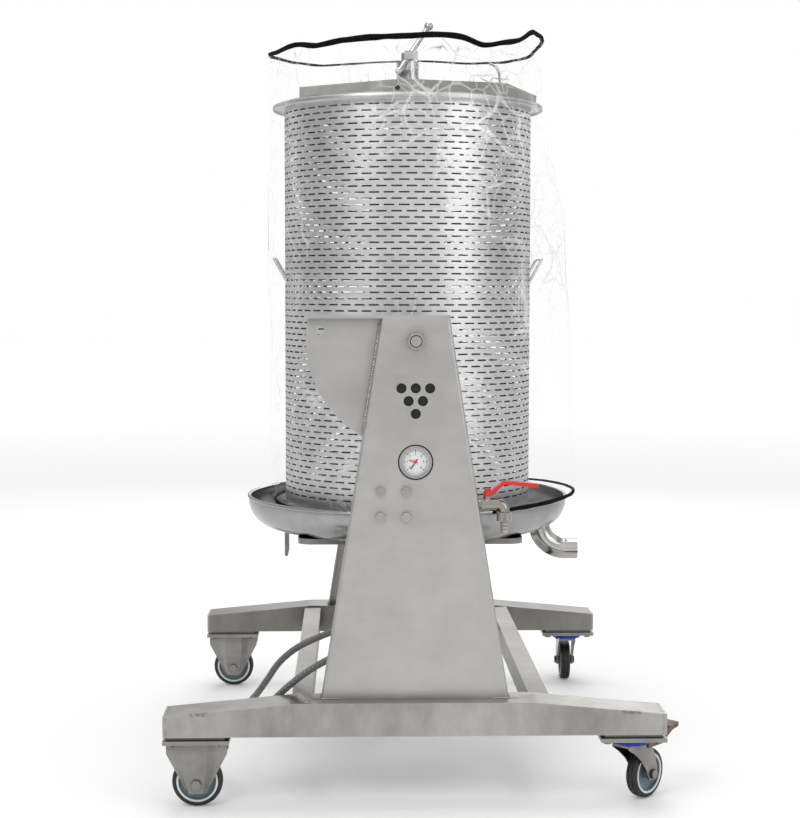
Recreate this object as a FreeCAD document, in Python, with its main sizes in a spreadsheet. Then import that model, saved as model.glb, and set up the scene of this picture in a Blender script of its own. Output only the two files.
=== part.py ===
import FreeCAD, Part
import math
import os
import re
from types import SimpleNamespace
import Sketcher

# Hydraulic fruit press: a slotted cage in a juice bowl, with a water bladder inside,
# tilting between two sheet towers on a wheeled frame.
# X runs to the spout side, Y from the gauge tower to the plain tower, Z up from the floor.

os.makedirs("parts", exist_ok=True)
doc = FreeCAD.newDocument("FruitPress")
sheet = doc.addObject("Spreadsheet::Sheet", "Sizes")

SIZES = {
    # running fits and seats
    "seat_gap": 0.3,
    "pin_clearance": 0.05,
    "slide_clearance": 0.3,
    # beams and braces
    "beam_length": 980,
    "beam_depth": 85,
    "beam_bottom": 146,
    "beam_end_height": 42,
    "beam_middle_height": 66,
    "beam_flat_hal": 230,
    "beam_wall": 3,
    "beam_spacing": 1000,
    "end_plate": 4,
    "brace_width": 40,
    "brace_height": 50,
    "brace_wall": 2.5,
    "brace_left": 225,
    "brace_right": 250,
    # towers
    "tower_foot_width": 372,
    "tower_head_width": 134,
    "tower_top": 962,
    "tower_sheet": 3,
    "tower_flange": 30,
    "tower_setback": 38,
    "tower_bend": 7,
    "cap_thickness": 6,
    "cap_reach": 217,
    # tilt pivot
    "pivot_height": 918,
    "journal_radius": 10,
    "bush_wall": 6,
    "collar_radius": 18,
    "pivot_nut_flats": 30,
    "pivot_nut_height": 18,
    "insert_radius": 10.4,
    # index plate and pin
    "index_plate_radius": 215,
    "index_plate_thickness": 6,
    "index_radius": 189,
    "index_start_angle": 264,
    "index_pin_radius": 8,
    "index_hole_clearance": 1,
    "index_travel": 12,
    "index_tip_gap": 2.5,
    "index_grip_radius": 16,
    "index_housing_wall": 5,
    "index_grip_room": 31.5,
    # front panel openings
    "vent_radius": 10,
    "vent_pitch": 28,
    "vent_row": 25,
    "vent_top": 826,
    "gauge_opening_radius": 35,
    "gauge_height": 681,
    "manifold_bolt_pitch": 50.5,
    "manifold_bolt_left": 69,
    "manifold_bolt_low": 573.5,
    # pressure gauge
    "gauge_radius": 30,
    "gauge_depth": 26,
    "gauge_recess": 3,
    "bezel_wall": 2.2,
    "bezel_height": 5,
    "lens_thickness": 1.5,
    "dial_thickness": 0.8,
    "arbor_radius": 1.2,
    "pointer_angle": -147,
    "marker_angle": -76,
    # manifold and drain tap
    "manifold_length": 92,
    "manifold_height": 74,
    "manifold_depth": 34,
    "bolt_flats": 17,
    "bolt_head": 6.4,
    "bolt_shank_radius": 5,
    "tap_height": 596,
    "tap_reach": 176,
    "tap_radius": 12,
    "tap_hole_clearance": 4,
    "tap_hub": 143,
    "lever_thickness": 8,
    "lever_width": 16,
    "lever_knee": 31,
    "lever_knee_rise": 47,
    "lever_reach": 100,
    "lever_end_rise": 41,
    "union_radius": 15,
    "union_height": 17,
    "tail_radius": 8,
    "tail_drop": 58,
    "barb_pitch": 7,
    "barb_length": 6,
    # juice bowl and its support
    "bowl_radius": 357,
    "bowl_rim": 557,
    "bowl_depth": 67,
    "bowl_wall": 2.5,
    "bowl_knuckle": 60,
    "rim_bead": 4,
    "pan_half_width": 240,
    "pan_height": 12,
    "pan_sheet": 3,
    "pan_corner": 30,
    "arm_width": 80,
    "arm_thickness": 8,
    "arm_gap": 8,
    "arm_head": 45,
    "bail_radius": 4,
    "bail_reach": 272,
    "bail_span": 35,
    "bail_drop": 66,
    # outlet spout
    "spout_radius": 24,
    "spout_wall": 1.5,
    "spout_bend": 58,
    "spout_start": 300,
    "spout_end": 386,
    # cage
    "cage_radius": 274,
    "cage_wall": 2,
    "disc_stand": 7.5,
    "cage_height": 916,
    "cage_band": 14,
    "rim_radius": 300,
    "rim_sheet": 2.5,
    "rim_lip": 9,
    "handle_rod": 3.5,
    "handle_span": 60,
    "handle_rise": 526,
    "handle_lift": 55,
    "handle_reach": 296,
    # bladder column
    "base_disc": 5,
    "spindle_radius": 12,
    "spindle_reach": 24,
    "column_radius": 30,
    "bladder_radius": 85,
    "bladder_rise": 35,
    "bladder_drop": 51,
    "clamp_ring_height": 14,
    # lid and clamp
    "lid_radius": 284,
    "lid_thickness": 4,
    "lid_bar_half_depth": 30,
    "lid_bar_left": 240,
    "lid_bar_height": 55.7,
    "lid_bar_end_height": 37.7,
    "lid_bar_tip_height": 20.7,
    "lid_bar_right": 217,
    "lid_bar_tip": 284,
    "lid_bar_sheet": 3,
    "nut_radius": 25,
    "nut_head_radius": 15,
    "nut_height": 38,
    "crown_height": 20,
    "washer_height": 2.4,
    "bar_radius": 6,
    "ball_radius": 10,
    "bar_low_side": 21,
    "bar_low_rise": 14,
    "bar_high_side": 45,
    "bar_high_rise": 112,
    # splash cover
    "cover_film": 1.2,
    "cover_lift": 9.3,
    "cover_rise": 127,
    "hem_radius": 5,
    # casters
    "wheel_radius": 50,
    "wheel_width": 24,
    "rim_wheel_radius": 41,
    "hub_length": 34,
    "axle_radius": 6,
    "caster_inset": 60,
    "caster_plate": 8,
    "caster_spacer": 7.5,
    "caster_spacer_inset": 8,
    "caster_bolt_inset": 14,
    "caster_bolt_flats": 13,
    "caster_bolt_head": 5,
    "caster_plate_length": 130,
    "caster_plate_width": 84,
    "caster_stack": 146,
    "fork_sheet": 3,
    "fork_gap": 1,
    "fork_half_width": 60,
    "fork_skirt": 22,
    "fork_end_radius": 19,
    "fork_rib": 11,
    "fork_rib_foot": 36,
    "fork_rib_face": 20,
    "fork_crown": 4,
    "swivel_trail": 48,
    "swivel_ring_radius": 36,
    "swivel_ring_height": 9,
    "swivel_pin_radius": 7,
    # brake pedals
    "pedal_pin_reach": 34,
    "pedal_pin_height": 112,
    "pedal_pad_start": 106,
    "pedal_pad_length": 26,
    "pedal_pad_thickness": 9,
    "pedal_pad_low": 127,
    # hose
    "hose_radius": 7,
    "rotary_width": 24,
    "rotary_wall": 9,
    "feed_radius": 6,
    "feed_side": 20,
    "inlet_radius": 9,
    "inlet_drop": 44,
}
for row, (alias, number) in enumerate(SIZES.items(), start=1):
    sheet.set(f"A{row}", alias)
    sheet.set(f"B{row}", str(number))
    sheet.setAlias(f"B{row}", alias)
doc.recompute()

# Heights and places that follow from the sizes above
DERIVED = {
    "bowl_floor": "bowl_rim - bowl_depth",
    "bowl_base": "bowl_floor - pan_height",
    "cage_foot": "bowl_floor + bowl_wall + disc_stand + base_disc",
    "cage_top": "cage_foot + cage_height",
    "handle_low": "cage_foot + handle_rise",
    "handle_high": "handle_low + handle_lift",
    "bladder_foot": "cage_foot + bladder_rise",
    "bladder_head": "cage_top - bladder_drop",
    "lid_low": "cage_top + seat_gap",
    "bar_low": "lid_low + lid_thickness",
    "bar_middle": "bar_low + lid_bar_height",
    "bar_end": "bar_low + lid_bar_end_height",
    "bar_tip": "bar_low + lid_bar_tip_height",
    "washer_low": "bar_middle + seat_gap",
    "nut_foot": "washer_low + washer_height + seat_gap",
    "nut_shoulder": "nut_foot + nut_height",
    "nut_top": "nut_shoulder + crown_height",
    "spindle_top": "nut_foot + spindle_reach",
    "cover_foot": "bowl_rim + cover_lift",
    "cover_top": "cage_top + cover_rise",
    "inlet_bottom": "bowl_floor - inlet_drop",
    "bail_bottom": "bowl_floor - bail_drop",
    "tail_bottom": "tap_height - tail_drop",
    "beam_top": "beam_bottom + beam_middle_height",
    "beam_face": "beam_spacing / 2 + beam_depth / 2",
    "tower_face": "beam_face - tower_setback",
    "plate_face": "tower_face - tower_flange",
    "arm_inner": "bowl_radius + rim_bead + arm_gap",
    "arm_outer": "arm_inner + arm_thickness",
    "index_housing": "plate_face - index_plate_thickness - arm_outer - index_grip_room",
    "union_place": "(plate_face + arm_outer) / 2 + 2.25",
    "caster_low": "beam_bottom - caster_spacer - caster_plate",
}


# Helpers: an expression names cells of the sheet by their alias alone


def formula(text):
    """Writes out the derived places of an expression, and the sheet's name in front of each alias."""
    def spell(word):
        if word[0] in DERIVED:
            return f"({formula(DERIVED[word[0]])})"
        return f"Sizes.{word[0]}" if word[0] in SIZES else word[0]

    return re.sub(r"[a-z][a-z_]*", spell, text)


def number_of(value):
    """The number that an expression of the sheet comes to now."""
    return float(sheet.evalExpression(formula(value))) if isinstance(value, str) else float(value)


size = SimpleNamespace(**SIZES, **{name: number_of(name) for name in DERIVED})


def bind(item, prop, value):
    """Sets a property to a number, or binds it to an expression of the sheet."""
    if isinstance(value, str):
        item.setExpression(prop, formula(value))
    else:
        target = item
        *path, last = prop.split(".")
        if path:
            placement = item.Placement
            setattr(placement.Base, last, value)
            item.Placement = placement
        else:
            setattr(target, last, value)


def place(item, at, turn=None):
    """Turns an object and binds its position."""
    if turn is not None:
        item.Placement = FreeCAD.Placement(FreeCAD.Vector(), turn)
    for axis, value in zip("xyz", at):
        bind(item, f"Placement.Base.{axis}", value)


AXIS_TURN = {
    "x": FreeCAD.Rotation(FreeCAD.Vector(0, 1, 0), 90),
    "y": FreeCAD.Rotation(FreeCAD.Vector(1, 0, 0), -90),
    "z": FreeCAD.Rotation(),
}


def box(name, lengths, corner):
    item = doc.addObject("Part::Box", name)
    for prop, value in zip(("Length", "Width", "Height"), lengths):
        bind(item, prop, value)
    place(item, corner)
    return item


def cylinder(name, radius, height, at, axis="z"):
    item = doc.addObject("Part::Cylinder", name)
    bind(item, "Radius", radius)
    bind(item, "Height", height)
    place(item, at, AXIS_TURN[axis])
    return item


def hexagon(name, flats, height, at, axis="z"):
    """A hexagonal prism with its flats a named distance apart."""
    item = doc.addObject("Part::Prism", name)
    item.Polygon = 6
    bind(item, "Circumradius", f"({flats}) / sqrt(3)")
    bind(item, "Height", height)
    place(item, at, AXIS_TURN[axis])
    return item


def torus(name, ring, radius, at, sweep=360, turn=None):
    item = doc.addObject("Part::Torus", name)
    bind(item, "Radius1", ring)
    bind(item, "Radius2", radius)
    item.Angle3 = sweep
    place(item, at, turn or FreeCAD.Rotation())
    return item


def fuse(name, *pieces):
    item = doc.addObject("Part::MultiFuse", name)
    item.Shapes = list(pieces)
    return item


def cut(name, base, *tools):
    item = doc.addObject("Part::Cut", name)
    item.Base = base
    item.Tool = tools[0] if len(tools) == 1 else fuse(f"{name}_tools", *tools)
    return item


def rod(name, points, radius):
    """A round bar through points: a cylinder for each run, with a ball at each corner."""
    pieces = []
    for number, (start, end) in enumerate(zip(points, points[1:])):
        start, end = FreeCAD.Vector(*start), FreeCAD.Vector(*end)
        run = doc.addObject("Part::Cylinder", f"{name}_run_{number}")
        bind(run, "Radius", radius)
        run.Height = (end - start).Length
        run.Placement = FreeCAD.Placement(start, FreeCAD.Rotation(FreeCAD.Vector(0, 0, 1), end - start))
        pieces.append(run)
    for number, corner in enumerate(points[1:-1]):
        knuckle = doc.addObject("Part::Sphere", f"{name}_corner_{number}")
        bind(knuckle, "Radius", radius)
        knuckle.Placement.Base = FreeCAD.Vector(*corner)
        pieces.append(knuckle)
    return pieces


def new_body(name):
    return doc.addObject("PartDesign::Body", name)


def new_sketch(body, name, plane, offset=0):
    """A sketch on one of the body's origin planes, moved along the plane's normal."""
    sketch = body.newObject("Sketcher::SketchObject", name)
    origin = next(item for item in body.Origin.OriginFeatures if item.Role == plane)
    sketch.AttachmentSupport = (origin, [""])
    sketch.MapMode = "FlatFace"
    if isinstance(offset, str):
        sketch.setExpression("AttachmentOffset.Base.z", formula(offset))
    elif offset:
        sketch.AttachmentOffset = FreeCAD.Placement(FreeCAD.Vector(0, 0, offset), FreeCAD.Rotation())
    return sketch


def fix_point(sketch, geometry, end, along, value):
    """Holds one end of a line, or a centre, at a bound distance from the sketch's origin."""
    number = sketch.addConstraint(Sketcher.Constraint(f"Distance{along}", -1, 1, geometry, end, 1.0))
    if isinstance(value, str):
        sketch.setExpression(f"Constraints[{number}]", formula(value))
    else:
        sketch.setDatum(number, FreeCAD.Units.Quantity(value, FreeCAD.Units.Length))


def polygon(sketch, corners):
    """A closed outline whose corners are bound."""
    points = [FreeCAD.Vector(number_of(across), number_of(up), 0) for across, up in corners]
    first = sketch.GeometryCount
    count = len(points)
    for number in range(count):
        line = Part.LineSegment(points[number], points[(number + 1) % count])
        sketch.addGeometry(line, False)
    for number in range(count):
        following = first + (number + 1) % count
        sketch.addConstraint(Sketcher.Constraint("Coincident", first + number, 2, following, 1))
    for number, (across, up) in enumerate(corners):
        fix_point(sketch, first + number, 1, "X", across)
        fix_point(sketch, first + number, 1, "Y", up)


def circles(sketch, rings):
    """Circles, each given by its bound centre and radius."""
    for across, up, radius in rings:
        circle = Part.Circle(FreeCAD.Vector(1, 1, 0), FreeCAD.Vector(0, 0, 1), 5)
        number = sketch.addGeometry(circle, False)
        fix_point(sketch, number, 3, "X", across)
        fix_point(sketch, number, 3, "Y", up)
        rule = sketch.addConstraint(Sketcher.Constraint("Radius", number, 5.0))
        sketch.setExpression(f"Constraints[{rule}]", formula(radius))


def pad(body, name, sketch, length, midplane=False, backwards=False):
    item = body.newObject("PartDesign::Pad", name)
    item.Profile = sketch
    bind(item, "Length", length)
    item.Midplane = midplane
    item.Reversed = backwards
    return item


def pocket(body, name, sketch, length=None, backwards=False):
    item = body.newObject("PartDesign::Pocket", name)
    item.Profile = sketch
    if length is None:
        item.Type = "ThroughAll"
        item.Midplane = True
    else:
        bind(item, "Length", length)
        item.Reversed = backwards
    return item


def revolve(name, corners):
    """A body turned about Z from an outline of radius and height."""
    body = new_body(name)
    sketch = new_sketch(body, f"{name}_outline", "XZ_Plane")
    polygon(sketch, corners)
    turn = body.newObject("PartDesign::Revolution", f"{name}_turn")
    turn.Profile = sketch
    turn.ReferenceAxis = (sketch, ["V_Axis"])
    turn.Angle = 360
    return body, turn


def fillet(body, name, feature, radius, wanted):
    """Rounds the edges of a feature that a test picks out."""
    doc.recompute()
    names = [f"Edge{n}" for n, edge in enumerate(feature.Shape.Edges, start=1) if wanted(edge)]
    item = body.newObject("PartDesign::Fillet", name)
    item.Base = (feature, names)
    bind(item, "Radius", radius)
    return item


nodes = {}


def keep(label, item):
    """Lists an object as a sub-part, under the label that names its file."""
    item.Label = label
    nodes[label] = item
    return item


# Frame: two tapered box beams joined by two braces


def beam(name, sign):
    """A box beam, deepest in the middle, open at its ends until the end plates close it."""
    body = new_body(name)
    half = "beam_length / 2"
    low, end, top = "beam_bottom", "beam_bottom + beam_end_height", "beam_top"
    flat = "beam_flat_hal"
    corners = [(f"-{half}", low), (half, low), (half, end), (flat, top), (f"-{flat}", top), (f"-{half}", end)]
    outline = new_sketch(body, f"{name}_outline", "XZ_Plane")
    polygon(outline, corners)
    pad(body, f"{name}_box", outline, "beam_depth", midplane=True)
    past = f"{half} + 5"
    inner_low, inner_end = f"{low} + beam_wall", f"{end} - beam_wall"
    inner_top = f"{top} - beam_wall"
    bore = [(f"-({past})", inner_low), (past, inner_low), (past, inner_end)]
    bore += [(flat, inner_top), (f"-{flat}", inner_top), (f"-({past})", inner_end)]
    hollow = new_sketch(body, f"{name}_hollow", "XZ_Plane", "beam_depth / 2 - beam_wall")
    polygon(hollow, bore)
    pocket(body, f"{name}_bore", hollow, "beam_depth - 2 * beam_wall")
    place(body, (0, f"{sign} * beam_spacing / 2", 0))
    return keep(name, body)


front_beam = beam("front_beam", -1)
rear_beam = beam("rear_beam", 1)

end_plates = []
for side in (-1, 1):
    for row in (-1, 1):
        x = "beam_length / 2" if side > 0 else "-beam_length / 2 - end_plate"
        y = f"{row} * beam_spacing / 2 - beam_depth / 2"
        lengths = ("end_plate", "beam_depth", "beam_end_height")
        end_plates.append(box(f"end_plate_{side + 1}_{row + 1}", lengths, (x, y, "beam_bottom")))
keep("beam_end_plates", fuse("beam_end_plates", *end_plates))


def brace(name, centre):
    """A square tube welded between the beams."""
    run = "beam_spacing - beam_depth"
    y = "-(beam_spacing - beam_depth) / 2"
    z = "beam_top - 4 - brace_height"
    tube = box(f"{name}_tube", ("brace_width", run, "brace_height"), (f"{centre} - brace_width / 2", y, z))
    inner = ("brace_width - 2 * brace_wall", f"{run} + 2", "brace_height - 2 * brace_wall")
    corner = (f"{centre} - brace_width / 2 + brace_wall", f"{y} - 1", f"{z} + brace_wall")
    return keep(name, cut(name, tube, box(f"{name}_bore", inner, corner)))


brace("left_brace", "-brace_left")
brace("right_brace", "brace_right")


# Towers: folded sheet, with flanges that turn in towards the bowl


def tower(name, front):
    """A tapered sheet tower; the front one has vents, a gauge opening and bolt holes."""
    body = new_body(f"{name}_sheet")
    foot, head = "tower_foot_width / 2", "tower_head_width / 2"
    low, top = "beam_top", "tower_top"
    outline = new_sketch(body, f"{name}_outline", "XZ_Plane", "tower_face")
    corners = [(f"-{foot}", low), (foot, low), (head, top), (f"-{head}", top)]
    polygon(outline, corners)
    blank = pad(body, f"{name}_blank", outline, "tower_flange", backwards=True)

    def bend(edge):
        ends = [vertex.Point for vertex in edge.Vertexes]
        tall = abs(ends[0].z - ends[1].z) > 100
        return tall and all(abs(point.y + size.tower_face) < 0.1 for point in ends)

    rounded = fillet(body, f"{name}_bends", blank, "tower_bend", bend)
    hollow = new_sketch(body, f"{name}_hollow", "XZ_Plane", "tower_face - tower_sheet")
    inner_foot, inner_head = f"{foot} - tower_sheet", f"{head} - tower_sheet"
    past = [(f"-({inner_foot})", f"{low} - 1"), (inner_foot, f"{low} - 1")]
    past += [(inner_head, f"{top} + 1"), (f"-({inner_head})", f"{top} + 1")]
    polygon(hollow, past)
    pocket(body, f"{name}_fold", hollow, "tower_flange + 1")
    holes = new_sketch(body, f"{name}_holes", "XZ_Plane", "tower_face")
    rings = [(0, "pivot_height", "journal_radius + pin_clearance")]
    if front:
        rings += [(f"{step} * vent_pitch", "vent_top", "vent_radius") for step in (-1, 0, 1)]
        rings += [(f"{step} * vent_pitch / 2", "vent_top - vent_row", "vent_radius") for step in (-1, 1)]
        rings += [(0, "vent_top - 2 * vent_row", "vent_radius")]
        rings += [(0, "gauge_height", "gauge_opening_radius")]
        for column in (0, 1):
            for line in (0, 1):
                x = f"{column} * manifold_bolt_pitch - manifold_bolt_left"
                z = f"{line} * manifold_bolt_pitch + manifold_bolt_low"
                rings.append((x, z, "bolt_shank_radius + slide_clearance"))
    circles(holes, rings)
    pocket(body, f"{name}_openings", holes, "tower_sheet + 2")
    if not front:
        body.Placement = FreeCAD.Placement(FreeCAD.Vector(), FreeCAD.Rotation(FreeCAD.Vector(0, 0, 1), 180))
        return keep(name, body)
    pipe_y = "-tower_face + tower_sheet + manifold_depth / 2"
    way = cylinder(
        "tap_pipe_hole", "tap_radius - 3 + tap_hole_clearance", 90, (70, pipe_y, "tap_height"), "x"
    )
    return keep(name, cut(name, body, way))


tower("front_tower", True)
tower("rear_tower", False)

caps = []
for name, y, reach in (("front", "-tower_face", "cap_reach"), ("rear", "plate_face", "tower_head_width / 2")):
    lengths = (f"{reach} + tower_head_width / 2", "tower_flange", "cap_thickness")
    caps.append(box(f"{name}_cap", lengths, (f"-{reach}", y, "tower_top")))
keep("tower_caps", fuse("tower_caps", *caps))

bushes = []
for name, y in (("front", "-tower_face + tower_sheet"), ("rear", "plate_face")):
    outer = cylinder(
        f"{name}_bush_tube",
        "journal_radius + bush_wall",
        "tower_flange - tower_sheet",
        (0, y, "pivot_height"),
        "y",
    )
    inner = cylinder(
        f"{name}_bush_bore",
        "journal_radius + pin_clearance",
        "tower_flange",
        (0, f"{y} - 1", "pivot_height"),
        "y",
    )
    bushes.append(cut(f"{name}_bush", outer, inner))
keep("pivot_bushes", fuse("pivot_bushes", *bushes))


def index_spot(turned):
    """Where the index pin stands after the cage has turned by an angle, as X and height."""
    angle = math.radians(size.index_start_angle - turned)
    return size.index_radius * math.cos(angle), size.pivot_height + size.index_radius * math.sin(angle)


def index_plate():
    """A sector plate welded behind the tower, with a hole for upright and one for tipped."""
    thick = "index_plate_thickness"
    y = "-plate_face"
    disc = cylinder("index_disc", "index_plate_radius", thick, (0, y, "pivot_height"), "y")
    reach = size.index_plate_radius
    wide = box("index_keep", (reach + 30, 40, reach + 20), (-reach - 2, f"{y} - 5", 0))
    bind(wide, "Placement.Base.z", "tower_top - index_plate_radius - 30")
    bind(wide, "Height", "index_plate_radius + 30")
    sector = doc.addObject("Part::Common", "index_sector")
    sector.Base = disc
    sector.Tool = wide
    holes = [cylinder("index_eye", "collar_radius + 2", 40, (0, f"{y} - 5", "pivot_height"), "y")]
    for number, turned in enumerate((0, 90)):
        x, z = index_spot(turned)
        radius = "index_pin_radius + index_hole_clearance"
        holes.append(cylinder(f"index_hole_{number}", radius, 40, (x, f"{y} - 5", z), "y"))
    return keep("index_plate", cut("index_plate", sector, *holes))


index_plate()


# Route of the water hose: manifold, loop beside the tower, up behind it to the rotary union

hose_front = -size.tower_face + size.tower_sheet + size.manifold_depth / 2
hose_rear = -size.union_place
HOSE_POINTS = [
    (-60, hose_front, 535),
    (-60, hose_front, 484),
    (-66, hose_front + 3, 418),
    (-92, hose_front + 14, 352),
    (-146, hose_front + 28, 294),
    (-210, hose_front + 38, 258),
    (-264, hose_front + 44, 214),
    (-308, hose_front + 52, 166),
    (-342, hose_front + 70, 128),
    (-380, hose_front + 108, 113),
    (-396, hose_front + 162, 112),
    (-380, hose_front + 214, 118),
    (-342, hose_front + 248, 138),
    (-308, hose_front + 254, 182),
    (-282, hose_front + 242, 226),
    (-240, hose_front + 226, 264),
    (-186, hose_front + 204, 292),
    (-130, hose_front + 170, 320),
    (-78, hose_front + 124, 356),
    (-34, hose_rear + 28, 408),
    (2, hose_rear + 8, 474),
    (24, hose_rear + 1, 548),
    (30, hose_rear, 624),
    (24, hose_rear, 700),
    (8, hose_rear, 768),
    (0, hose_rear, 822),
    (0, hose_rear, 866),
]


# Water manifold, gauge and drain tap on the front tower

manifold_left = -size.manifold_bolt_left - (size.manifold_length - size.manifold_bolt_pitch) / 2
manifold_low = size.manifold_bolt_low - (size.manifold_height - size.manifold_bolt_pitch) / 2
manifold_mid = (manifold_left + size.manifold_length / 2, manifold_low + size.manifold_height / 2)
gauge_back = -size.tower_face + size.gauge_recess + size.gauge_depth


def manifold():
    """The drilled block behind the panel, with a stub that carries the gauge and a tap pipe."""
    lengths = ("manifold_length", "manifold_depth", "manifold_height")
    block = box("manifold_block", lengths, (manifold_left, "-tower_face + tower_sheet", manifold_low))
    centre_y = -size.tower_face + size.tower_sheet + size.manifold_depth / 2
    top = manifold_low + size.manifold_height
    stem_x = -20
    behind = gauge_back + 14
    rise = [(stem_x, centre_y, top - 4), (stem_x, centre_y, top + 6), (0, behind, top + 8)]
    rise += [(0, behind, size.gauge_height), (0, gauge_back + size.seat_gap, size.gauge_height)]
    pipe = rod("gauge_pipe", rise, 6)
    right = manifold_left + size.manifold_length
    out = [(right - 4, centre_y, size.tap_height), (right + 24, centre_y, size.tap_height)]
    holes = []
    for column in (0, 1):
        for line in (0, 1):
            x = f"{column} * manifold_bolt_pitch - manifold_bolt_left"
            z = f"{line} * manifold_bolt_pitch + manifold_bolt_low"
            where = (x, "-tower_face + tower_sheet - 1", z)
            holes.append(cylinder(f"manifold_hole_{column}_{line}", "bolt_shank_radius", 21, where, "y"))
    hose_x, _, hose_top = HOSE_POINTS[0]
    ferrule = cylinder(
        "hose_ferrule", "hose_radius + 3", manifold_low - hose_top, (hose_x, centre_y, hose_top)
    )
    body = fuse("manifold_blank", block, *pipe, *rod("tap_pipe", out, 9), ferrule)
    keep("manifold", cut("manifold", body, *holes))
    return centre_y


tap_y = manifold()

bolts = []
for column in (0, 1):
    for line in (0, 1):
        x = f"{column} * manifold_bolt_pitch - manifold_bolt_left"
        z = f"{line} * manifold_bolt_pitch + manifold_bolt_low"
        head = hexagon(
            f"bolt_head_{column}_{line}", "bolt_flats", "bolt_head", (x, "-tower_face - bolt_head", z), "y"
        )
        shank = cylinder(
            f"bolt_shank_{column}_{line}", "bolt_shank_radius", "tower_sheet + 20", (x, "-tower_face", z), "y"
        )
        bolts += [head, shank]
keep("manifold_bolts", fuse("manifold_bolts", *bolts))


def gauge():
    """Case, bezel, dial, lens and two hands of the pressure gauge, set in the panel's opening."""
    face_y = "-tower_face + gauge_recess"
    at = (0, face_y, "gauge_height")
    can = cylinder("gauge_can", "gauge_radius", "gauge_depth", at, "y")
    well = cylinder(
        "gauge_well", "gauge_radius - 1.5", "gauge_depth - 6", (0, f"{face_y} - 1", "gauge_height"), "y"
    )
    arbor_y = f"{face_y} + 2.5"
    arbor = cylinder("gauge_arbor", "arbor_radius", "gauge_depth - 7", (0, arbor_y, "gauge_height"), "y")
    keep("gauge_case", fuse("gauge_case", cut("gauge_shell", can, well), arbor))
    dial_y = f"{face_y} + 6"
    dial = cylinder("gauge_disc", "gauge_radius - 1.8", "dial_thickness", (0, dial_y, "gauge_height"), "y")
    eye = cylinder("gauge_eye", "arbor_radius + pin_clearance", 4, (0, f"{face_y} + 5", "gauge_height"), "y")
    keep("gauge_dial", cut("gauge_dial", dial, eye))
    lens_at = (0, f"{face_y} + 0.1", "gauge_height")
    keep("gauge_lens", cylinder("gauge_lens", "gauge_radius - 1.8", "lens_thickness", lens_at, "y"))
    ring_at = (0, f"{face_y} - 2", "gauge_height")
    ring = cylinder("bezel_ring", "gauge_radius + bezel_wall", "bezel_height", ring_at, "y")
    hole = cylinder("bezel_bore", "gauge_radius + 0.02", 20, (0, face_y, "gauge_height"), "y")
    window = cylinder("bezel_window", "gauge_radius - 3", 20, (0, f"{face_y} - 6", "gauge_height"), "y")
    keep("gauge_bezel", cut("gauge_bezel", ring, hole, window))
    hands = (
        ("gauge_pointer", 4.6, 17, 7, 2.2, "pointer_angle"), ("gauge_marker", 3.4, 13, 4, 2.6, "marker_angle")
    )
    for name, layer, length, tail, width, angle in hands:
        y = f"{face_y} + {layer}"
        hub = cylinder(f"{name}_hub", "arbor_radius + 2", 0.7, (0, y, "gauge_height"), "y")
        hand = box(f"{name}_hand", (width, 0.7, length + tail), (-width / 2, y, 0))
        bind(hand, "Placement.Base.z", f"gauge_height - {tail}")
        bore = cylinder(
            f"{name}_bore", "arbor_radius + pin_clearance", 6, (0, f"{y} - 2", "gauge_height"), "y"
        )
        hand_piece = keep(name, cut(name, fuse(f"{name}_blank", hub, hand), bore))
        pin = FreeCAD.Vector(0, 0, size.gauge_height)
        turn = FreeCAD.Rotation(FreeCAD.Vector(0, 1, 0), SIZES[angle])
        hand_piece.Placement = FreeCAD.Placement(pin - turn.multVec(pin), turn)


gauge()


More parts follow.
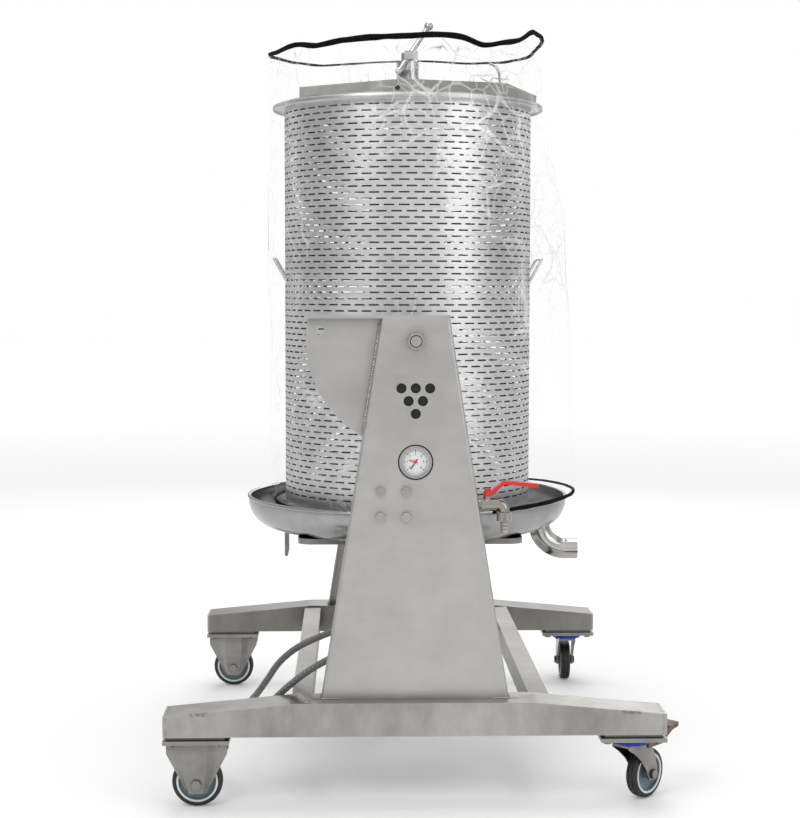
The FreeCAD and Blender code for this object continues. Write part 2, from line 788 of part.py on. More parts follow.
def drain_tap():
    """A ball tap beside the tower: bored body, elbow, ball with stem, lever, union and hose tail."""
    z = size.tap_height
    start_x = manifold_left + size.manifold_length + 24
    run = rod("tap_run", [(start_x, tap_y, z), (size.tap_hub - 10, tap_y, z)], "tap_radius - 3")
    bend = size.tap_radius + 1
    barrel = cylinder(
        "tap_barrel", "tap_radius", f"tap_reach - tap_hub + 12 - {bend}", ("tap_hub - 12", tap_y, z), "x"
    )
    flats = hexagon("tap_flats", "2 * tap_radius + 1", 8, ("tap_hub - 13", tap_y, z), "x")
    turned = FreeCAD.Rotation(FreeCAD.Vector(1, 0, 0), 90)
    knee = torus("tap_knee", bend, "tap_radius - 1.5", (size.tap_reach - bend, tap_y, z - bend), 90, turned)
    drop = cylinder("tap_drop", "tap_radius - 2", 17 - bend, ("tap_reach", tap_y, z - 16))
    bonnet = cylinder("tap_bonnet", "tap_radius - 4", "tap_radius + 4", ("tap_hub", tap_y, z))
    blank = fuse("tap_blank", *run, barrel, flats, knee, drop, bonnet)
    seat = doc.addObject("Part::Sphere", "tap_seat")
    bind(seat, "Radius", "tap_radius - 3 + pin_clearance")
    place(seat, ("tap_hub", tap_y, z))
    gland = cylinder("tap_gland", "3 + pin_clearance", 30, ("tap_hub", tap_y, z))
    way = cylinder("tap_way", 5, f"tap_reach - tap_hub + 12 - {bend}", ("tap_hub - 14", tap_y, z), "x")
    keep("drain_tap", cut("drain_tap", blank, seat, gland, way))
    ball = doc.addObject("Part::Sphere", "tap_ball_solid")
    bind(ball, "Radius", "tap_radius - 3")
    place(ball, ("tap_hub", tap_y, z))
    port = cylinder("tap_port", 5, 30, (size.tap_hub, tap_y - 15, z), "y")
    stem = cylinder("tap_stem", 3, 30, ("tap_hub", tap_y, z))
    keep("tap_ball", fuse("tap_ball", cut("tap_ball_drilled", ball, port), stem))
    hub_low = z + size.tap_radius + 4 + size.seat_gap
    hub = cylinder("lever_hub", 8, 10, ("tap_hub", tap_y, hub_low))
    bore = cylinder("lever_bore", 3.02, 30, ("tap_hub", tap_y, hub_low - 5))
    half = size.lever_width / 2
    arm = new_body("lever_arm")
    outline = new_sketch(arm, "lever_outline", "XZ_Plane")
    hub_top = hub_low + 10
    knee_x, knee_z = size.tap_hub + size.lever_knee, z + size.lever_knee_rise
    end_x, end_z = size.tap_hub + size.lever_reach, z + size.lever_end_rise
    thick = size.lever_thickness
    low = [(size.tap_hub, hub_top - thick), (size.tap_hub + 10, hub_top - thick)]
    low += [(knee_x + 1, knee_z - thick), (end_x, end_z - thick)]
    high = [(end_x, end_z), (knee_x, knee_z), (size.tap_hub + 6, hub_top), (size.tap_hub, hub_top)]
    polygon(outline, low + high)
    pad(arm, "lever_strip", outline, "lever_width", midplane=True)
    place(arm, (0, tap_y, 0))
    nut = hexagon("tap_nut", 10, 5, ("tap_hub", tap_y, hub_top))
    keep("tap_lever", cut("tap_lever", fuse("lever_blank", hub, arm, nut), bore))
    top = z - 16
    ring = cylinder(
        "union_ring", "union_radius", "union_height", ("tap_reach", tap_y, top - size.union_height)
    )
    grooves = []
    for number in range(8):
        angle = math.radians(45 * number)
        spot = (size.tap_reach + 15.6 * math.cos(angle), tap_y + 15.6 * math.sin(angle), top - 20)
        grooves.append(cylinder(f"union_groove_{number}", 2.4, 30, spot))
    tail = cylinder(
        "tail_stem", "tail_radius - 2", top - size.tail_bottom, ("tap_reach", tap_y, "tail_bottom")
    )
    barbs = []
    for number in range(3):
        barb = doc.addObject("Part::Cone", f"tail_barb_{number}")
        bind(barb, "Radius1", "tail_radius - 2")
        bind(barb, "Radius2", "tail_radius")
        bind(barb, "Height", "barb_length")
        place(barb, ("tap_reach", tap_y, f"tail_bottom + {number} * barb_pitch + 1"))
        barbs.append(barb)
    knurled = cut("union_knurled", ring, *grooves)
    solid = fuse("tail_solid", knurled, tail, *barbs)
    keep(
        "hose_tail",
        cut("hose_tail", solid, cylinder("tail_bore", 4, 60, ("tap_reach", tap_y, "tail_bottom - 2")))
    )


drain_tap()


# Cradle: a strap under the bowl with an arm up to each pivot

index_x, index_z = index_spot(0)


def cradle():
    """One wide flat bar bent into a U, drilled for the inlet and the index pin."""
    body = new_body("cradle_strap")
    outline = new_sketch(body, "cradle_outline", "YZ_Plane")
    low, high = "bowl_base - arm_thickness", "pivot_height + arm_head"
    corners = [("-arm_outer", low), ("arm_outer", low), ("arm_outer", high), ("arm_inner", high)]
    corners += [("arm_inner", "bowl_base"), ("-arm_inner", "bowl_base")]
    corners += [("-arm_inner", high), ("-arm_outer", high)]
    polygon(outline, corners)
    strap = pad(body, "cradle_bar", outline, "arm_width", midplane=True)

    def head(edge):
        ends = [vertex.Point for vertex in edge.Vertexes]
        level = abs(ends[0].z - ends[1].z) < 0.1 and abs(ends[0].x - ends[1].x) < 0.1
        return level and ends[0].z > size.pivot_height

    fillet(body, "cradle_heads", strap, "arm_width / 2 - 4", head)
    x, z = index_x, index_z
    hole = cylinder(
        "cradle_pin_hole", "index_pin_radius + pin_clearance", 80, (x, -size.arm_outer - 60, z), "y"
    )
    inlet = cylinder("cradle_inlet_hole", "inlet_radius + slide_clearance", 40, (0, 0, "bowl_base - 20"))
    socket_at = (x, -size.arm_outer - size.index_housing, z)
    socket = cylinder("pin_housing", "index_pin_radius + index_housing_wall", "index_housing", socket_at, "y")
    keep("cradle", cut("cradle", fuse("cradle_blank", body, socket), hole, inlet))


cradle()


def index_pin():
    """The locking pin in its housing, drawn back, with the flange it is gripped by."""
    plate_inner = -(size.tower_face - size.tower_flange) + size.index_plate_thickness
    tip = plate_inner + size.index_tip_gap
    tail = -size.arm_inner - 3
    shaft = cylinder("index_shaft", "index_pin_radius", tail - tip, (index_x, tip, index_z), "y")
    grip_y = -size.arm_outer - size.index_housing - size.seat_gap - 8
    grip = cylinder("index_grip", "index_grip_radius", 8, (index_x, grip_y, index_z), "y")
    keep("index_pin", fuse("index_pin", shaft, grip))


index_pin()


def trunnions():
    """Stepped pivot shafts on the arms, with a lock nut outside each tower."""
    shafts, nuts = [], []
    bush_end = size.tower_face - size.tower_flange
    for name, sign in (("front", -1), ("rear", 1)):
        collar_length = bush_end - size.seat_gap - size.arm_outer
        journal_end = size.tower_face + size.seat_gap + size.pivot_nut_height + 3
        journal_length = journal_end - bush_end + size.seat_gap
        collar_y = size.arm_outer if sign > 0 else -size.arm_outer - collar_length
        journal_y = bush_end - size.seat_gap if sign > 0 else -bush_end + size.seat_gap - journal_length
        collar = cylinder(
            f"{name}_collar", "collar_radius", collar_length, (0, collar_y, "pivot_height"), "y"
        )
        journal = cylinder(
            f"{name}_journal", "journal_radius", journal_length, (0, journal_y, "pivot_height"), "y"
        )
        shafts += [collar, journal]
        nut_y = size.tower_face + size.seat_gap
        low_y = nut_y if sign > 0 else -nut_y - size.pivot_nut_height + 4
        hexed = hexagon(
            f"{name}_hex", "pivot_nut_flats", "pivot_nut_height - 4", (0, low_y, "pivot_height"), "y"
        )
        crown_y = nut_y if sign > 0 else -nut_y - size.pivot_nut_height
        crown = cylinder(
            f"{name}_crown", "insert_radius + 2.6", "pivot_nut_height", (0, crown_y, "pivot_height"), "y"
        )
        bore = cylinder(
            f"{name}_nut_bore", "journal_radius + 0.02", 60, (0, crown_y - 20, "pivot_height"), "y"
        )
        nuts.append(cut(f"{name}_nut", fuse(f"{name}_nut_blank", hexed, crown), bore))
    keep("trunnions", fuse("trunnions", *shafts))
    keep("pivot_nuts", fuse("pivot_nuts", *nuts))


trunnions()


def base_pan():
    """A shallow folded pan that the bowl stands in."""
    body = new_body("pan_body")
    outline = new_sketch(body, "pan_outline", "XY_Plane", "bowl_base")
    half = "pan_half_width"
    corners = [(f"-{half}", f"-{half}"), (half, f"-{half}"), (half, half), (f"-{half}", half)]
    polygon(outline, corners)
    block = pad(body, "pan_block", outline, "pan_height")

    def upright(edge):
        ends = [vertex.Point for vertex in edge.Vertexes]
        return abs(ends[0].z - ends[1].z) > 1

    fillet(body, "pan_corners", block, "pan_corner", upright)
    inside = new_sketch(body, "pan_inside", "XY_Plane", "bowl_floor")
    inner = "pan_half_width - pan_sheet - pan_corner / 3"
    corners = [(f"-({inner})", f"-({inner})"), (inner, f"-({inner})"), (inner, inner), (f"-({inner})", inner)]
    polygon(inside, corners)
    pocket(body, "pan_hollow", inside, "pan_height - pan_sheet")
    hole = cylinder("pan_inlet_hole", "inlet_radius + slide_clearance", 60, (0, 0, "bowl_base - 20"))
    keep("base_pan", cut("base_pan", body, hole))


base_pan()


def juice_bowl():
    """A spun bowl with a rounded knuckle and a rolled rim, pierced for inlet and outlet."""
    radius, low, wall, rim = "bowl_radius", "bowl_floor", "bowl_wall", "bowl_rim"
    corners = [(0, low), (radius, low), (radius, rim), (f"{radius} - {wall}", rim)]
    corners += [(f"{radius} - {wall}", f"{low} + {wall}"), (0, f"{low} + {wall}")]
    body, spun = revolve("bowl_body", corners)

    def knuckle(height, reach):
        def wanted(edge):
            curve = edge.Curve
            round_edge = isinstance(curve, Part.Circle) and abs(curve.Radius - reach) < 0.1
            return round_edge and abs(curve.Center.z - height) < 0.1

        return wanted

    outer = fillet(body, "bowl_knuckle_out", spun, "bowl_knuckle", knuckle(size.bowl_floor, size.bowl_radius))
    inner_test = knuckle(size.bowl_floor + size.bowl_wall, size.bowl_radius - size.bowl_wall)
    fillet(body, "bowl_knuckle_in", outer, "bowl_knuckle - bowl_wall", inner_test)
    bead = torus("bowl_bead", "bowl_radius - bowl_wall / 2", "rim_bead", (0, 0, "bowl_rim"))
    inlet = cylinder("bowl_inlet_hole", "inlet_radius + slide_clearance", 60, (0, 0, "bowl_floor - 20"))
    outlet = cylinder("bowl_outlet_hole", "spout_radius", 60, ("spout_start", 0, "bowl_floor - 20"))
    keep("juice_bowl", cut("juice_bowl", fuse("bowl_blank", body, bead), inlet, outlet))


juice_bowl()


def outlet_spout():
    """A polished elbow from the bowl's floor to an open mouth facing sideways."""
    lip = "bowl_floor + 6"
    mouth = "spout_end - spout_start - spout_bend"
    turn = FreeCAD.Rotation(FreeCAD.Vector(1, 0, 0), 90)
    turn = turn.multiply(FreeCAD.Rotation(FreeCAD.Vector(0, 0, 1), 180))
    shells = []
    for name, radius, extra in (("skin", "spout_radius", 0), ("bore", "spout_radius - spout_wall", 2)):
        drop = cylinder(f"spout_{name}_drop", radius, 6 + extra, ("spout_start", 0, "bowl_floor"))
        centre = ("spout_start + spout_bend", 0, "bowl_floor")
        bend = torus(f"spout_{name}_bend", "spout_bend", radius, centre, 90, turn)
        start = ("spout_start + spout_bend", 0, "bowl_floor - spout_bend")
        run = cylinder(f"spout_{name}_run", radius, f"{mouth} + {extra}", start, "x")
        shells.append(fuse(f"spout_{name}", drop, bend, run))
    keep("outlet_spout", cut("outlet_spout", *shells))


outlet_spout()

bail_x, bail_y = -size.bail_reach, size.bail_span
bail_points = [(bail_x, -bail_y, size.bowl_floor), (bail_x, -bail_y, size.bail_bottom)]
bail_points += [(bail_x, bail_y, size.bail_bottom), (bail_x, bail_y, size.bowl_floor)]
keep("bowl_bail", fuse("bowl_bail", *rod("bail", bail_points, "bail_radius")))


# Cage, bladder column and inlet


def base_disc():
    """The disc that the cage stands on, on three short feet, open around the inlet."""
    top = size.cage_foot
    low = top - size.base_disc
    disc = cylinder("disc_plate", "cage_radius + 4", "base_disc", (0, 0, low))
    feet = []
    for number in range(3):
        angle = math.radians(90 + 120 * number)
        spot = (200 * math.cos(angle), 200 * math.sin(angle), "bowl_floor + bowl_wall")
        feet.append(cylinder(f"disc_foot_{number}", 12, low - size.bowl_floor - size.bowl_wall, spot))
    hole = cylinder("disc_hole", "inlet_radius + slide_clearance", 40, (0, 0, low - 20))
    keep("base_disc", cut("base_disc", fuse("disc_blank", disc, *feet), hole))


base_disc()


def cage():
    """The rolled cage shell, with a foot band and a flanged rim that turns down at its edge."""
    inner, outer, foot, top = "cage_radius - cage_wall", "cage_radius", "cage_foot", "cage_top"
    corners = [(inner, foot), (f"{outer} + 1.5", foot), (f"{outer} + 1.5", f"{foot} + cage_band")]
    corners += [(outer, f"{foot} + cage_band"), (outer, f"{top} - rim_sheet")]
    corners += [
        ("rim_radius - rim_sheet", f"{top} - rim_sheet"), ("rim_radius - rim_sheet", f"{top} - rim_lip")
    ]
    corners += [("rim_radius", f"{top} - rim_lip"), ("rim_radius", top), (inner, top)]
    body, _ = revolve("cage_wall_body", corners)
    return body


def cage_handles():
    """A bent rod handle welded low on each flank of the cage."""
    pieces = []
    for name, side in (("left", -1), ("right", 1)):
        reach = side * size.handle_reach
        span = size.handle_span
        wall = side * math.sqrt(size.cage_radius**2 - span**2)
        loop = [(wall, -span, size.handle_low), (reach, -span, size.handle_high)]
        loop += [(reach, span, size.handle_high), (wall, span, size.handle_low)]
        pieces += rod(f"{name}_handle", loop, "handle_rod")
    inside = cylinder("handle_trim", "cage_radius - cage_wall / 2", 200, (0, 0, size.handle_low - 100))
    return cut("cage_handles", fuse("handle_rods", *pieces), inside)


keep("cage_shell", fuse("cage_shell", cage(), cage_handles()))


def feed_pipe():
    """The rigid pipe from the pivot collar down the front arm and under the strap to the inlet."""
    side, pipe_y = size.feed_side, -size.arm_outer - size.feed_radius - 9
    low = size.bowl_floor - size.pan_height - size.arm_thickness - size.feed_radius - 2
    collar_low = size.pivot_height - size.collar_radius
    run = [(0, pipe_y, collar_low), (0, pipe_y, collar_low - 26), (side, pipe_y, collar_low - 70)]
    run += [(side, pipe_y, low), (side, -60, low), (0, 0, low)]
    return rod("feed", run, "feed_radius")


def column():
    """Centre column: foot, threaded spindle and the rings that clamp the bladder's ends."""
    foot = cylinder(
        "column_foot", "column_radius", "bladder_foot - clamp_ring_height - cage_foot", (0, 0, "cage_foot")
    )
    spindle = cylinder("column_spindle", "spindle_radius", "spindle_top - cage_foot", (0, 0, "cage_foot"))
    rings = []
    for name, z in (("low", "bladder_foot - clamp_ring_height"), ("high", "bladder_head")):
        ring = cylinder(f"{name}_clamp_ring", "column_radius + 8", "clamp_ring_height", (0, 0, z))
        rings.append(ring)
    keep("centre_column", fuse("centre_column", foot, spindle, *rings))
    inner, waist, wide = "spindle_radius + 1", "column_radius + 4", "bladder_radius"
    low, high = "bladder_foot", "bladder_head"
    corners = [
        (inner, low), (waist, low), (wide, f"{low} + 70"),
        (wide, f"{high} - 70"), (waist, high), (inner, high),
    ]
    body, _ = revolve("bladder", corners)
    keep("bladder", body)
    pipe = cylinder("inlet_pipe", "inlet_radius", "cage_foot - inlet_bottom", (0, 0, "inlet_bottom"))
    collar_at = (0, 0, "bowl_base - arm_thickness - 8")
    collar = hexagon("inlet_collar", "2 * inlet_radius + 9", 8, collar_at)
    bore = cylinder(
        "inlet_bore", "inlet_radius - 3", "cage_foot - inlet_bottom - 8", (0, 0, "inlet_bottom - 1")
    )
    keep("water_inlet", cut("water_inlet", fuse("inlet_blank", pipe, collar, *feed_pipe()), bore))


column()


# Lid and screw clamp

def lid():
    """A flat lid disc, the tapered cross bar over it and a bent lifting rod."""
    disc = cylinder("lid_plate", "lid_radius", "lid_thickness", (0, 0, "lid_low"))
    hole = cylinder("lid_plate_hole", "spindle_radius + slide_clearance", 20, (0, 0, "lid_low - 8"))
    keep("lid_disc", cut("lid_disc", disc, hole))
    body = new_body("lid_bar_body")
    outline = new_sketch(body, "lid_bar_outline", "XZ_Plane")
    left, tip, mid = "lid_bar_left", "lid_bar_tip", "bar_middle"
    low = "bar_low"
    corners = [(f"-{left}", low), (tip, low), (tip, "bar_tip"), ("lid_bar_right", f"{mid} - 7")]
    corners += [("nut_radius + 8", mid), ("-(nut_radius + 8)", mid), (f"-{left}", "bar_end")]
    polygon(outline, corners)
    pad(body, "lid_bar_block", outline, "2 * lid_bar_half_depth", midplane=True)
    hollow = new_sketch(body, "lid_bar_hollow", "XZ_Plane", "lid_bar_half_depth - lid_bar_sheet")
    skin = "lid_bar_sheet"
    corners = [(f"-({left} - {skin})", f"{low} - 1"), (f"{tip} - {skin}", f"{low} - 1")]
    corners += [(f"{tip} - {skin}", f"bar_tip - {skin}"), ("lid_bar_right", f"{mid} - 7 - {skin}")]
    corners += [("nut_radius + 8", f"{mid} - {skin}"), ("-(nut_radius + 8)", f"{mid} - {skin}")]
    corners += [(f"-({left} - {skin})", f"bar_end - {skin}")]
    polygon(hollow, corners)
    pocket(body, "lid_bar_inside", hollow, "2 * lid_bar_half_depth - 2 * lid_bar_sheet")
    hole = cylinder("lid_bar_hole", "spindle_radius + slide_clearance", 80, (0, 0, "bar_low - 5"))
    side = cylinder("lid_bar_eye", 6, 10, (-24, -size.lid_bar_half_depth - 5, size.bar_middle - 18), "y")
    keep("lid_bar", cut("lid_bar", body, hole, side))
    x, foot = size.lid_bar_right - 11, size.bar_middle - 6.2
    bend = [(x, 0, foot), (x - 2, 0, foot + 26), (x - 10, 4, foot + 40), (x - 22, 6, foot + 46)]
    keep("lid_grip", fuse("lid_grip", *rod("grip", bend, 3)))


lid()


def clamp():
    """Washer, tall nut with a crown, and the slanted bar with a ball at each end."""
    low = size.nut_foot
    washer = cylinder("washer_plate", "nut_radius + 3", "washer_height", (0, 0, "washer_low"))
    eye = cylinder("washer_eye", "spindle_radius + slide_clearance", 20, (0, 0, "washer_low - 8"))
    keep("clamp_washer", cut("clamp_washer", washer, eye))
    barrel = cylinder("nut_barrel", "nut_radius", "nut_height", (0, 0, low))
    crown = cylinder("nut_crown", "nut_head_radius", "crown_height", (0, 0, "nut_shoulder"))
    bar_y = -size.nut_radius - size.bar_radius - 1
    low_end = (-size.bar_low_side, bar_y, low + size.bar_low_rise)
    high_end = (size.bar_high_side, bar_y, low + size.bar_high_rise)
    lug_lengths = (30, -bar_y + size.bar_radius + 3, "crown_height - 2")
    lug = box("nut_lug", lug_lengths, (-9, bar_y - size.bar_radius - 3, "nut_shoulder + 2"))
    thread = cylinder("nut_thread", "spindle_radius + pin_clearance", 34, (0, 0, low - 4))
    start, end = FreeCAD.Vector(*low_end), FreeCAD.Vector(*high_end)
    shaft = doc.addObject("Part::Cylinder", "bar_shaft")
    bind(shaft, "Radius", "bar_radius")
    shaft.Height = (end - start).Length
    shaft.Placement = FreeCAD.Placement(start, FreeCAD.Rotation(FreeCAD.Vector(0, 0, 1), end - start))
    socket = doc.addObject("Part::Cylinder", "bar_socket")
    bind(socket, "Radius", "bar_radius + pin_clearance")
    socket.Height = (end - start).Length
    socket.Placement = shaft.Placement
    keep("clamp_nut", cut("clamp_nut", fuse("nut_blank", barrel, crown, lug), thread, socket))
    balls = []
    for number, spot in enumerate((low_end, high_end)):
        ball = doc.addObject("Part::Sphere", f"bar_ball_{number}")
        bind(ball, "Radius", "ball_radius" if number else "ball_radius - 2")
        ball.Placement.Base = FreeCAD.Vector(*spot)
        balls.append(ball)
    keep("clamp_bar", fuse("clamp_bar", shaft, *balls))


clamp()


# Splash cover: a clear film sleeve around the cage, in soft upright folds


def fold_ring(height, centre, radius, depth, folds):
    """A closed ring of arcs, bulging out between shallow valleys."""
    def spot(angle, reach):
        x = centre + reach * math.cos(angle)
        return FreeCAD.Vector(x, reach * math.sin(angle), height)

    edges = []
    step = 2 * math.pi / folds
    for number in range(folds):
        start = number * step
        crest = radius + depth * (0.6 + 0.4 * math.cos(3 * start))
        arc = Part.Arc(spot(start, radius), spot(start + step / 2, crest), spot(start + step, radius))
        edges.append(arc.toShape())
    return Part.Wire(edges)


COVER_STATIONS = [
    # share of the height, sideways shift, radius, fold depth
    (0.0, 34, 343, 3),
    (0.3, 30, 340, 7),
    (0.6, 20, 334, 8),
    (0.87, -2, 307, 4),
    (1.0, -4, 304, 3),
]


def cover_wires(inset):
    rise = size.cover_top - size.cover_foot
    return [
        fold_ring(size.cover_foot + share * rise, shift, radius - inset, depth, 20)
        for share, shift, radius, depth in COVER_STATIONS
    ]


cover = doc.addObject("Part::Feature", "splash_cover")
outer_film = Part.makeLoft(cover_wires(0), True, True)
inner_film = Part.makeLoft(cover_wires(size.cover_film), True, True)
cover.Shape = outer_film.cut(inner_film)
keep("splash_cover", cover)

hems = []
for name, station, height in (("foot", 0, "cover_foot"), ("top", -1, "cover_top")):
    _, shift, radius, _ = COVER_STATIONS[station]
    hem_ring = radius + size.hem_radius + 4
    hems.append(torus(f"{name}_hem", hem_ring, "hem_radius", (shift, 0, height)))
keep("cover_hems", fuse("cover_hems", *hems))


# Casters: fixed on the left, swivelling with a brake pedal on the right

caster_x = size.beam_length / 2 - size.caster_inset


def caster_plate(tag, x, y):
    """A weld plate under the beam, the caster's own plate below it and four bolt heads."""
    half_length, half_width = size.caster_plate_length / 2, size.caster_plate_width / 2
    inset, bolt_inset = size.caster_spacer_inset, size.caster_bolt_inset
    spread = ("caster_plate_length", "caster_plate_width", "caster_plate")
    plate = box(f"caster_plate_{tag}", spread, (x - half_length, y - half_width, "caster_low"))
    spread = ("caster_plate_length - 2 * caster_spacer_inset", "caster_plate_width - 2 * caster_spacer_inset")
    corner = (x - half_length + inset, y - half_width + inset, "beam_bottom - caster_spacer")
    spacer = box(f"weld_plate_{tag}", (*spread, "caster_spacer"), corner)
    heads = []
    for across in (-1, 1):
        for along in (-1, 1):
            spot = (x + across * (half_length - bolt_inset), y + along * (half_width - bolt_inset))
            name = f"caster_bolt_{tag}{across + 1}{along + 1}"
            heads.append(
                hexagon(
                    name, "caster_bolt_flats", "caster_bolt_head", (*spot, "caster_low - caster_bolt_head")
                )
            )
    return [plate, spacer, *heads]


plates, rings = [], []
for side in (-1, 1):
    for row in (-1, 1):
        x, y = side * caster_x, row * size.beam_spacing / 2
        tag = f"{side + 1}{row + 1}"
        plates += caster_plate(tag, x, y)
        if side > 0:
            place_at = (x, y, "caster_low - swivel_ring_height")
            ring = cylinder(f"swivel_ring_{tag}", "swivel_ring_radius", "swivel_ring_height", place_at)
            eye_at = (x, y, "caster_low - 30")
            eye = cylinder(f"swivel_eye_{tag}", "swivel_pin_radius + pin_clearance", 60, eye_at)
            rings.append(cut(f"swivel_seat_{tag}", ring, eye))
keep("caster_plates", fuse("caster_plates", *plates))
keep("swivel_rings", fuse("swivel_rings", *rings))

fork_half = size.hub_length / 2 + size.fork_gap


def fork_cheeks(name, corners):
    """Two like side plates, one each side of the wheel."""
    cheeks = []
    for number, y in enumerate((-fork_half - size.fork_sheet, fork_half)):
        body = new_body(f"{name}_cheek_{number}")
        outline = new_sketch(body, f"{name}_cheek_outline_{number}", "XZ_Plane")
        polygon(outline, corners)
        pad(body, f"{name}_cheek_pad_{number}", outline, "fork_sheet", backwards=True)
        place(body, (0, y, 0))
        cheeks.append(body)
    return cheeks


def axle(name, x):
    length = 2 * (fork_half + size.fork_sheet + size.fork_rib + 5)
    if x:
        length -= 2 * size.fork_rib
    shaft = cylinder(f"{name}_axle", "axle_radius", length, (x, -length / 2, "wheel_radius"), "y")
    ends = [
        hexagon(f"{name}_axle_nut_{number}", 17, 5, (x, y, "wheel_radius"), "y")
        for number, y in enumerate((-length / 2, length / 2 - 5))
    ]
    return [shaft, *ends]


def fork_rib(name, side):
    """The channel pressed outwards down the middle of a fixed fork's cheek."""
    foot_y = side * (fork_half + size.fork_sheet)
    face_y = side * (fork_half + size.fork_sheet + size.fork_rib)
    rings = []
    sections = ((foot_y, size.fork_rib_foot, size.fork_end_radius), (face_y, size.fork_rib_face, 12))
    for y, head, tip in sections:
        low, high = size.wheel_radius - size.fork_end_radius, size.caster_low - 1
        corners = [(-tip, low), (tip, low), (head, size.wheel_radius + 32), (head, high)]
        corners += [(-head, high), (-head, size.wheel_radius + 32)]
        points = [FreeCAD.Vector(x, y, z) for x, z in corners]
        rings.append(Part.makePolygon([*points, points[0]]))
    rib = doc.addObject("Part::Feature", name)
    rib.Shape = Part.makeLoft(rings, True, True)
    return rib


def fixed_fork(name, row):
    """Two triangular cheeks with pressed ribs under a top flange, and the axle between them."""
    low, skirt = "wheel_radius - fork_end_radius", "caster_low - fork_skirt"
    corners = [("-fork_end_radius", low), ("fork_end_radius", low), ("fork_half_width", skirt)]
    corners += [
        ("fork_half_width", "caster_low"), ("-fork_half_width", "caster_low"), ("-fork_half_width", skirt)
    ]
    lengths = ("2 * fork_half_width", 2 * fork_half, "fork_crown")
    bridge = box(f"{name}_bridge", lengths, ("-fork_half_width", -fork_half, "caster_low - fork_crown"))
    ribs = [fork_rib(f"{name}_rib_{side + 1}", side) for side in (-1, 1)]
    fork = fuse(name, *fork_cheeks(name, corners), bridge, *ribs, *axle(name, 0))
    fork.Placement.Base = FreeCAD.Vector(-caster_x, row * size.beam_spacing / 2, 0)
    return fork


keep("fixed_forks", fuse("fixed_forks", fixed_fork("front_left_fork", -1), fixed_fork("rear_left_fork", 1)))

SWIVEL_YAW = {"front": 45, "rear": 88}


def yawed(item, row_name, row):
    """Turns a piece made about the swivel's axis and sets it under its plate."""
    turn = FreeCAD.Rotation(FreeCAD.Vector(0, 0, 1), SWIVEL_YAW[row_name])
    item.Placement = FreeCAD.Placement(FreeCAD.Vector(caster_x, row * size.beam_spacing / 2, 0), turn)
    return item


def swivel_fork(row_name, row):
    """Curved cheeks trailing from a crown, with the axle, the king pin and the brake pedal's pin."""
    name = f"{row_name}_right_fork"
    trail = size.swivel_trail
    crown_top = size.caster_low - size.swivel_ring_height - size.seat_gap
    corners = [(trail - 13, 40), (trail + 8, 37), (trail + 15, 46), (trail + 15, 62), (trail + 6, 88)]
    corners += [(36, crown_top), (-34, crown_top), (-34, crown_top - 7), (-14, crown_top - 20)]
    corners += [(8, crown_top - 38), (24, crown_top - 58)]
    bridge = box(f"{name}_bridge", (70, 2 * fork_half, 5), (-34, -fork_half, crown_top - 5))
    king = cylinder(
        f"{name}_king_pin", "swivel_pin_radius", size.swivel_ring_height + 5, (0, 0, crown_top - 5)
    )
    reach, height = size.pedal_pin_reach, size.pedal_pin_height
    pin_at = (reach, -fork_half - 6.5, height)
    pivot = cylinder(f"{name}_pedal_pin", 2, 2 * fork_half + 13, pin_at, "y")
    fork = fuse(name, *fork_cheeks(name, corners), bridge, king, pivot, *axle(name, trail))
    keep(name, yawed(fork, row_name, row))


def brake_pedal(row_name, row):
    """Two arms on the fork's cheeks and a tread that stands clear of the beam's end."""
    name = f"{row_name}_right_pedal"
    reach, height = size.pedal_pin_reach, size.pedal_pin_height
    start, low = size.pedal_pad_start, size.pedal_pad_low
    thick = size.pedal_pad_thickness
    outline = [
        (reach - 6, height - 5), (reach + 40, height - 5), (start + 4, low + 1), (start + 4, low + thick - 1)
    ]
    outline += [(start - 6, low + thick - 1), (reach + 36, height + 5), (reach - 6, height + 5)]
    arms = []
    for number, y in enumerate((-fork_half - size.fork_sheet - 3, fork_half + size.fork_sheet + 0.5)):
        body = new_body(f"{name}_arm_{number}")
        sketch = new_sketch(body, f"{name}_arm_outline_{number}", "XZ_Plane")
        polygon(sketch, outline)
        pad(body, f"{name}_arm_pad_{number}", sketch, 2.5, backwards=True)
        place(body, (0, y, 0))
        arms.append(body)
    half = fork_half + size.fork_sheet + 3
    tread = new_body(f"{name}_tread")
    sketch = new_sketch(tread, f"{name}_tread_outline", "XZ_Plane")
    end, rise = start + size.pedal_pad_length, 5
    polygon(sketch, [(start, low), (end, low + rise), (end, low + rise + thick), (start, low + thick)])
    pad(tread, f"{name}_tread_pad", sketch, 2 * half, midplane=True)
    bore = cylinder(f"{name}_bore", 2.05, 60, (reach, -30, height), "y")
    keep(name, yawed(cut(name, fuse(f"{name}_blank", tread, *arms), bore), row_name, row))


for row_name, row in (("front", -1), ("rear", 1)):
    swivel_fork(row_name, row)
    brake_pedal(row_name, row)


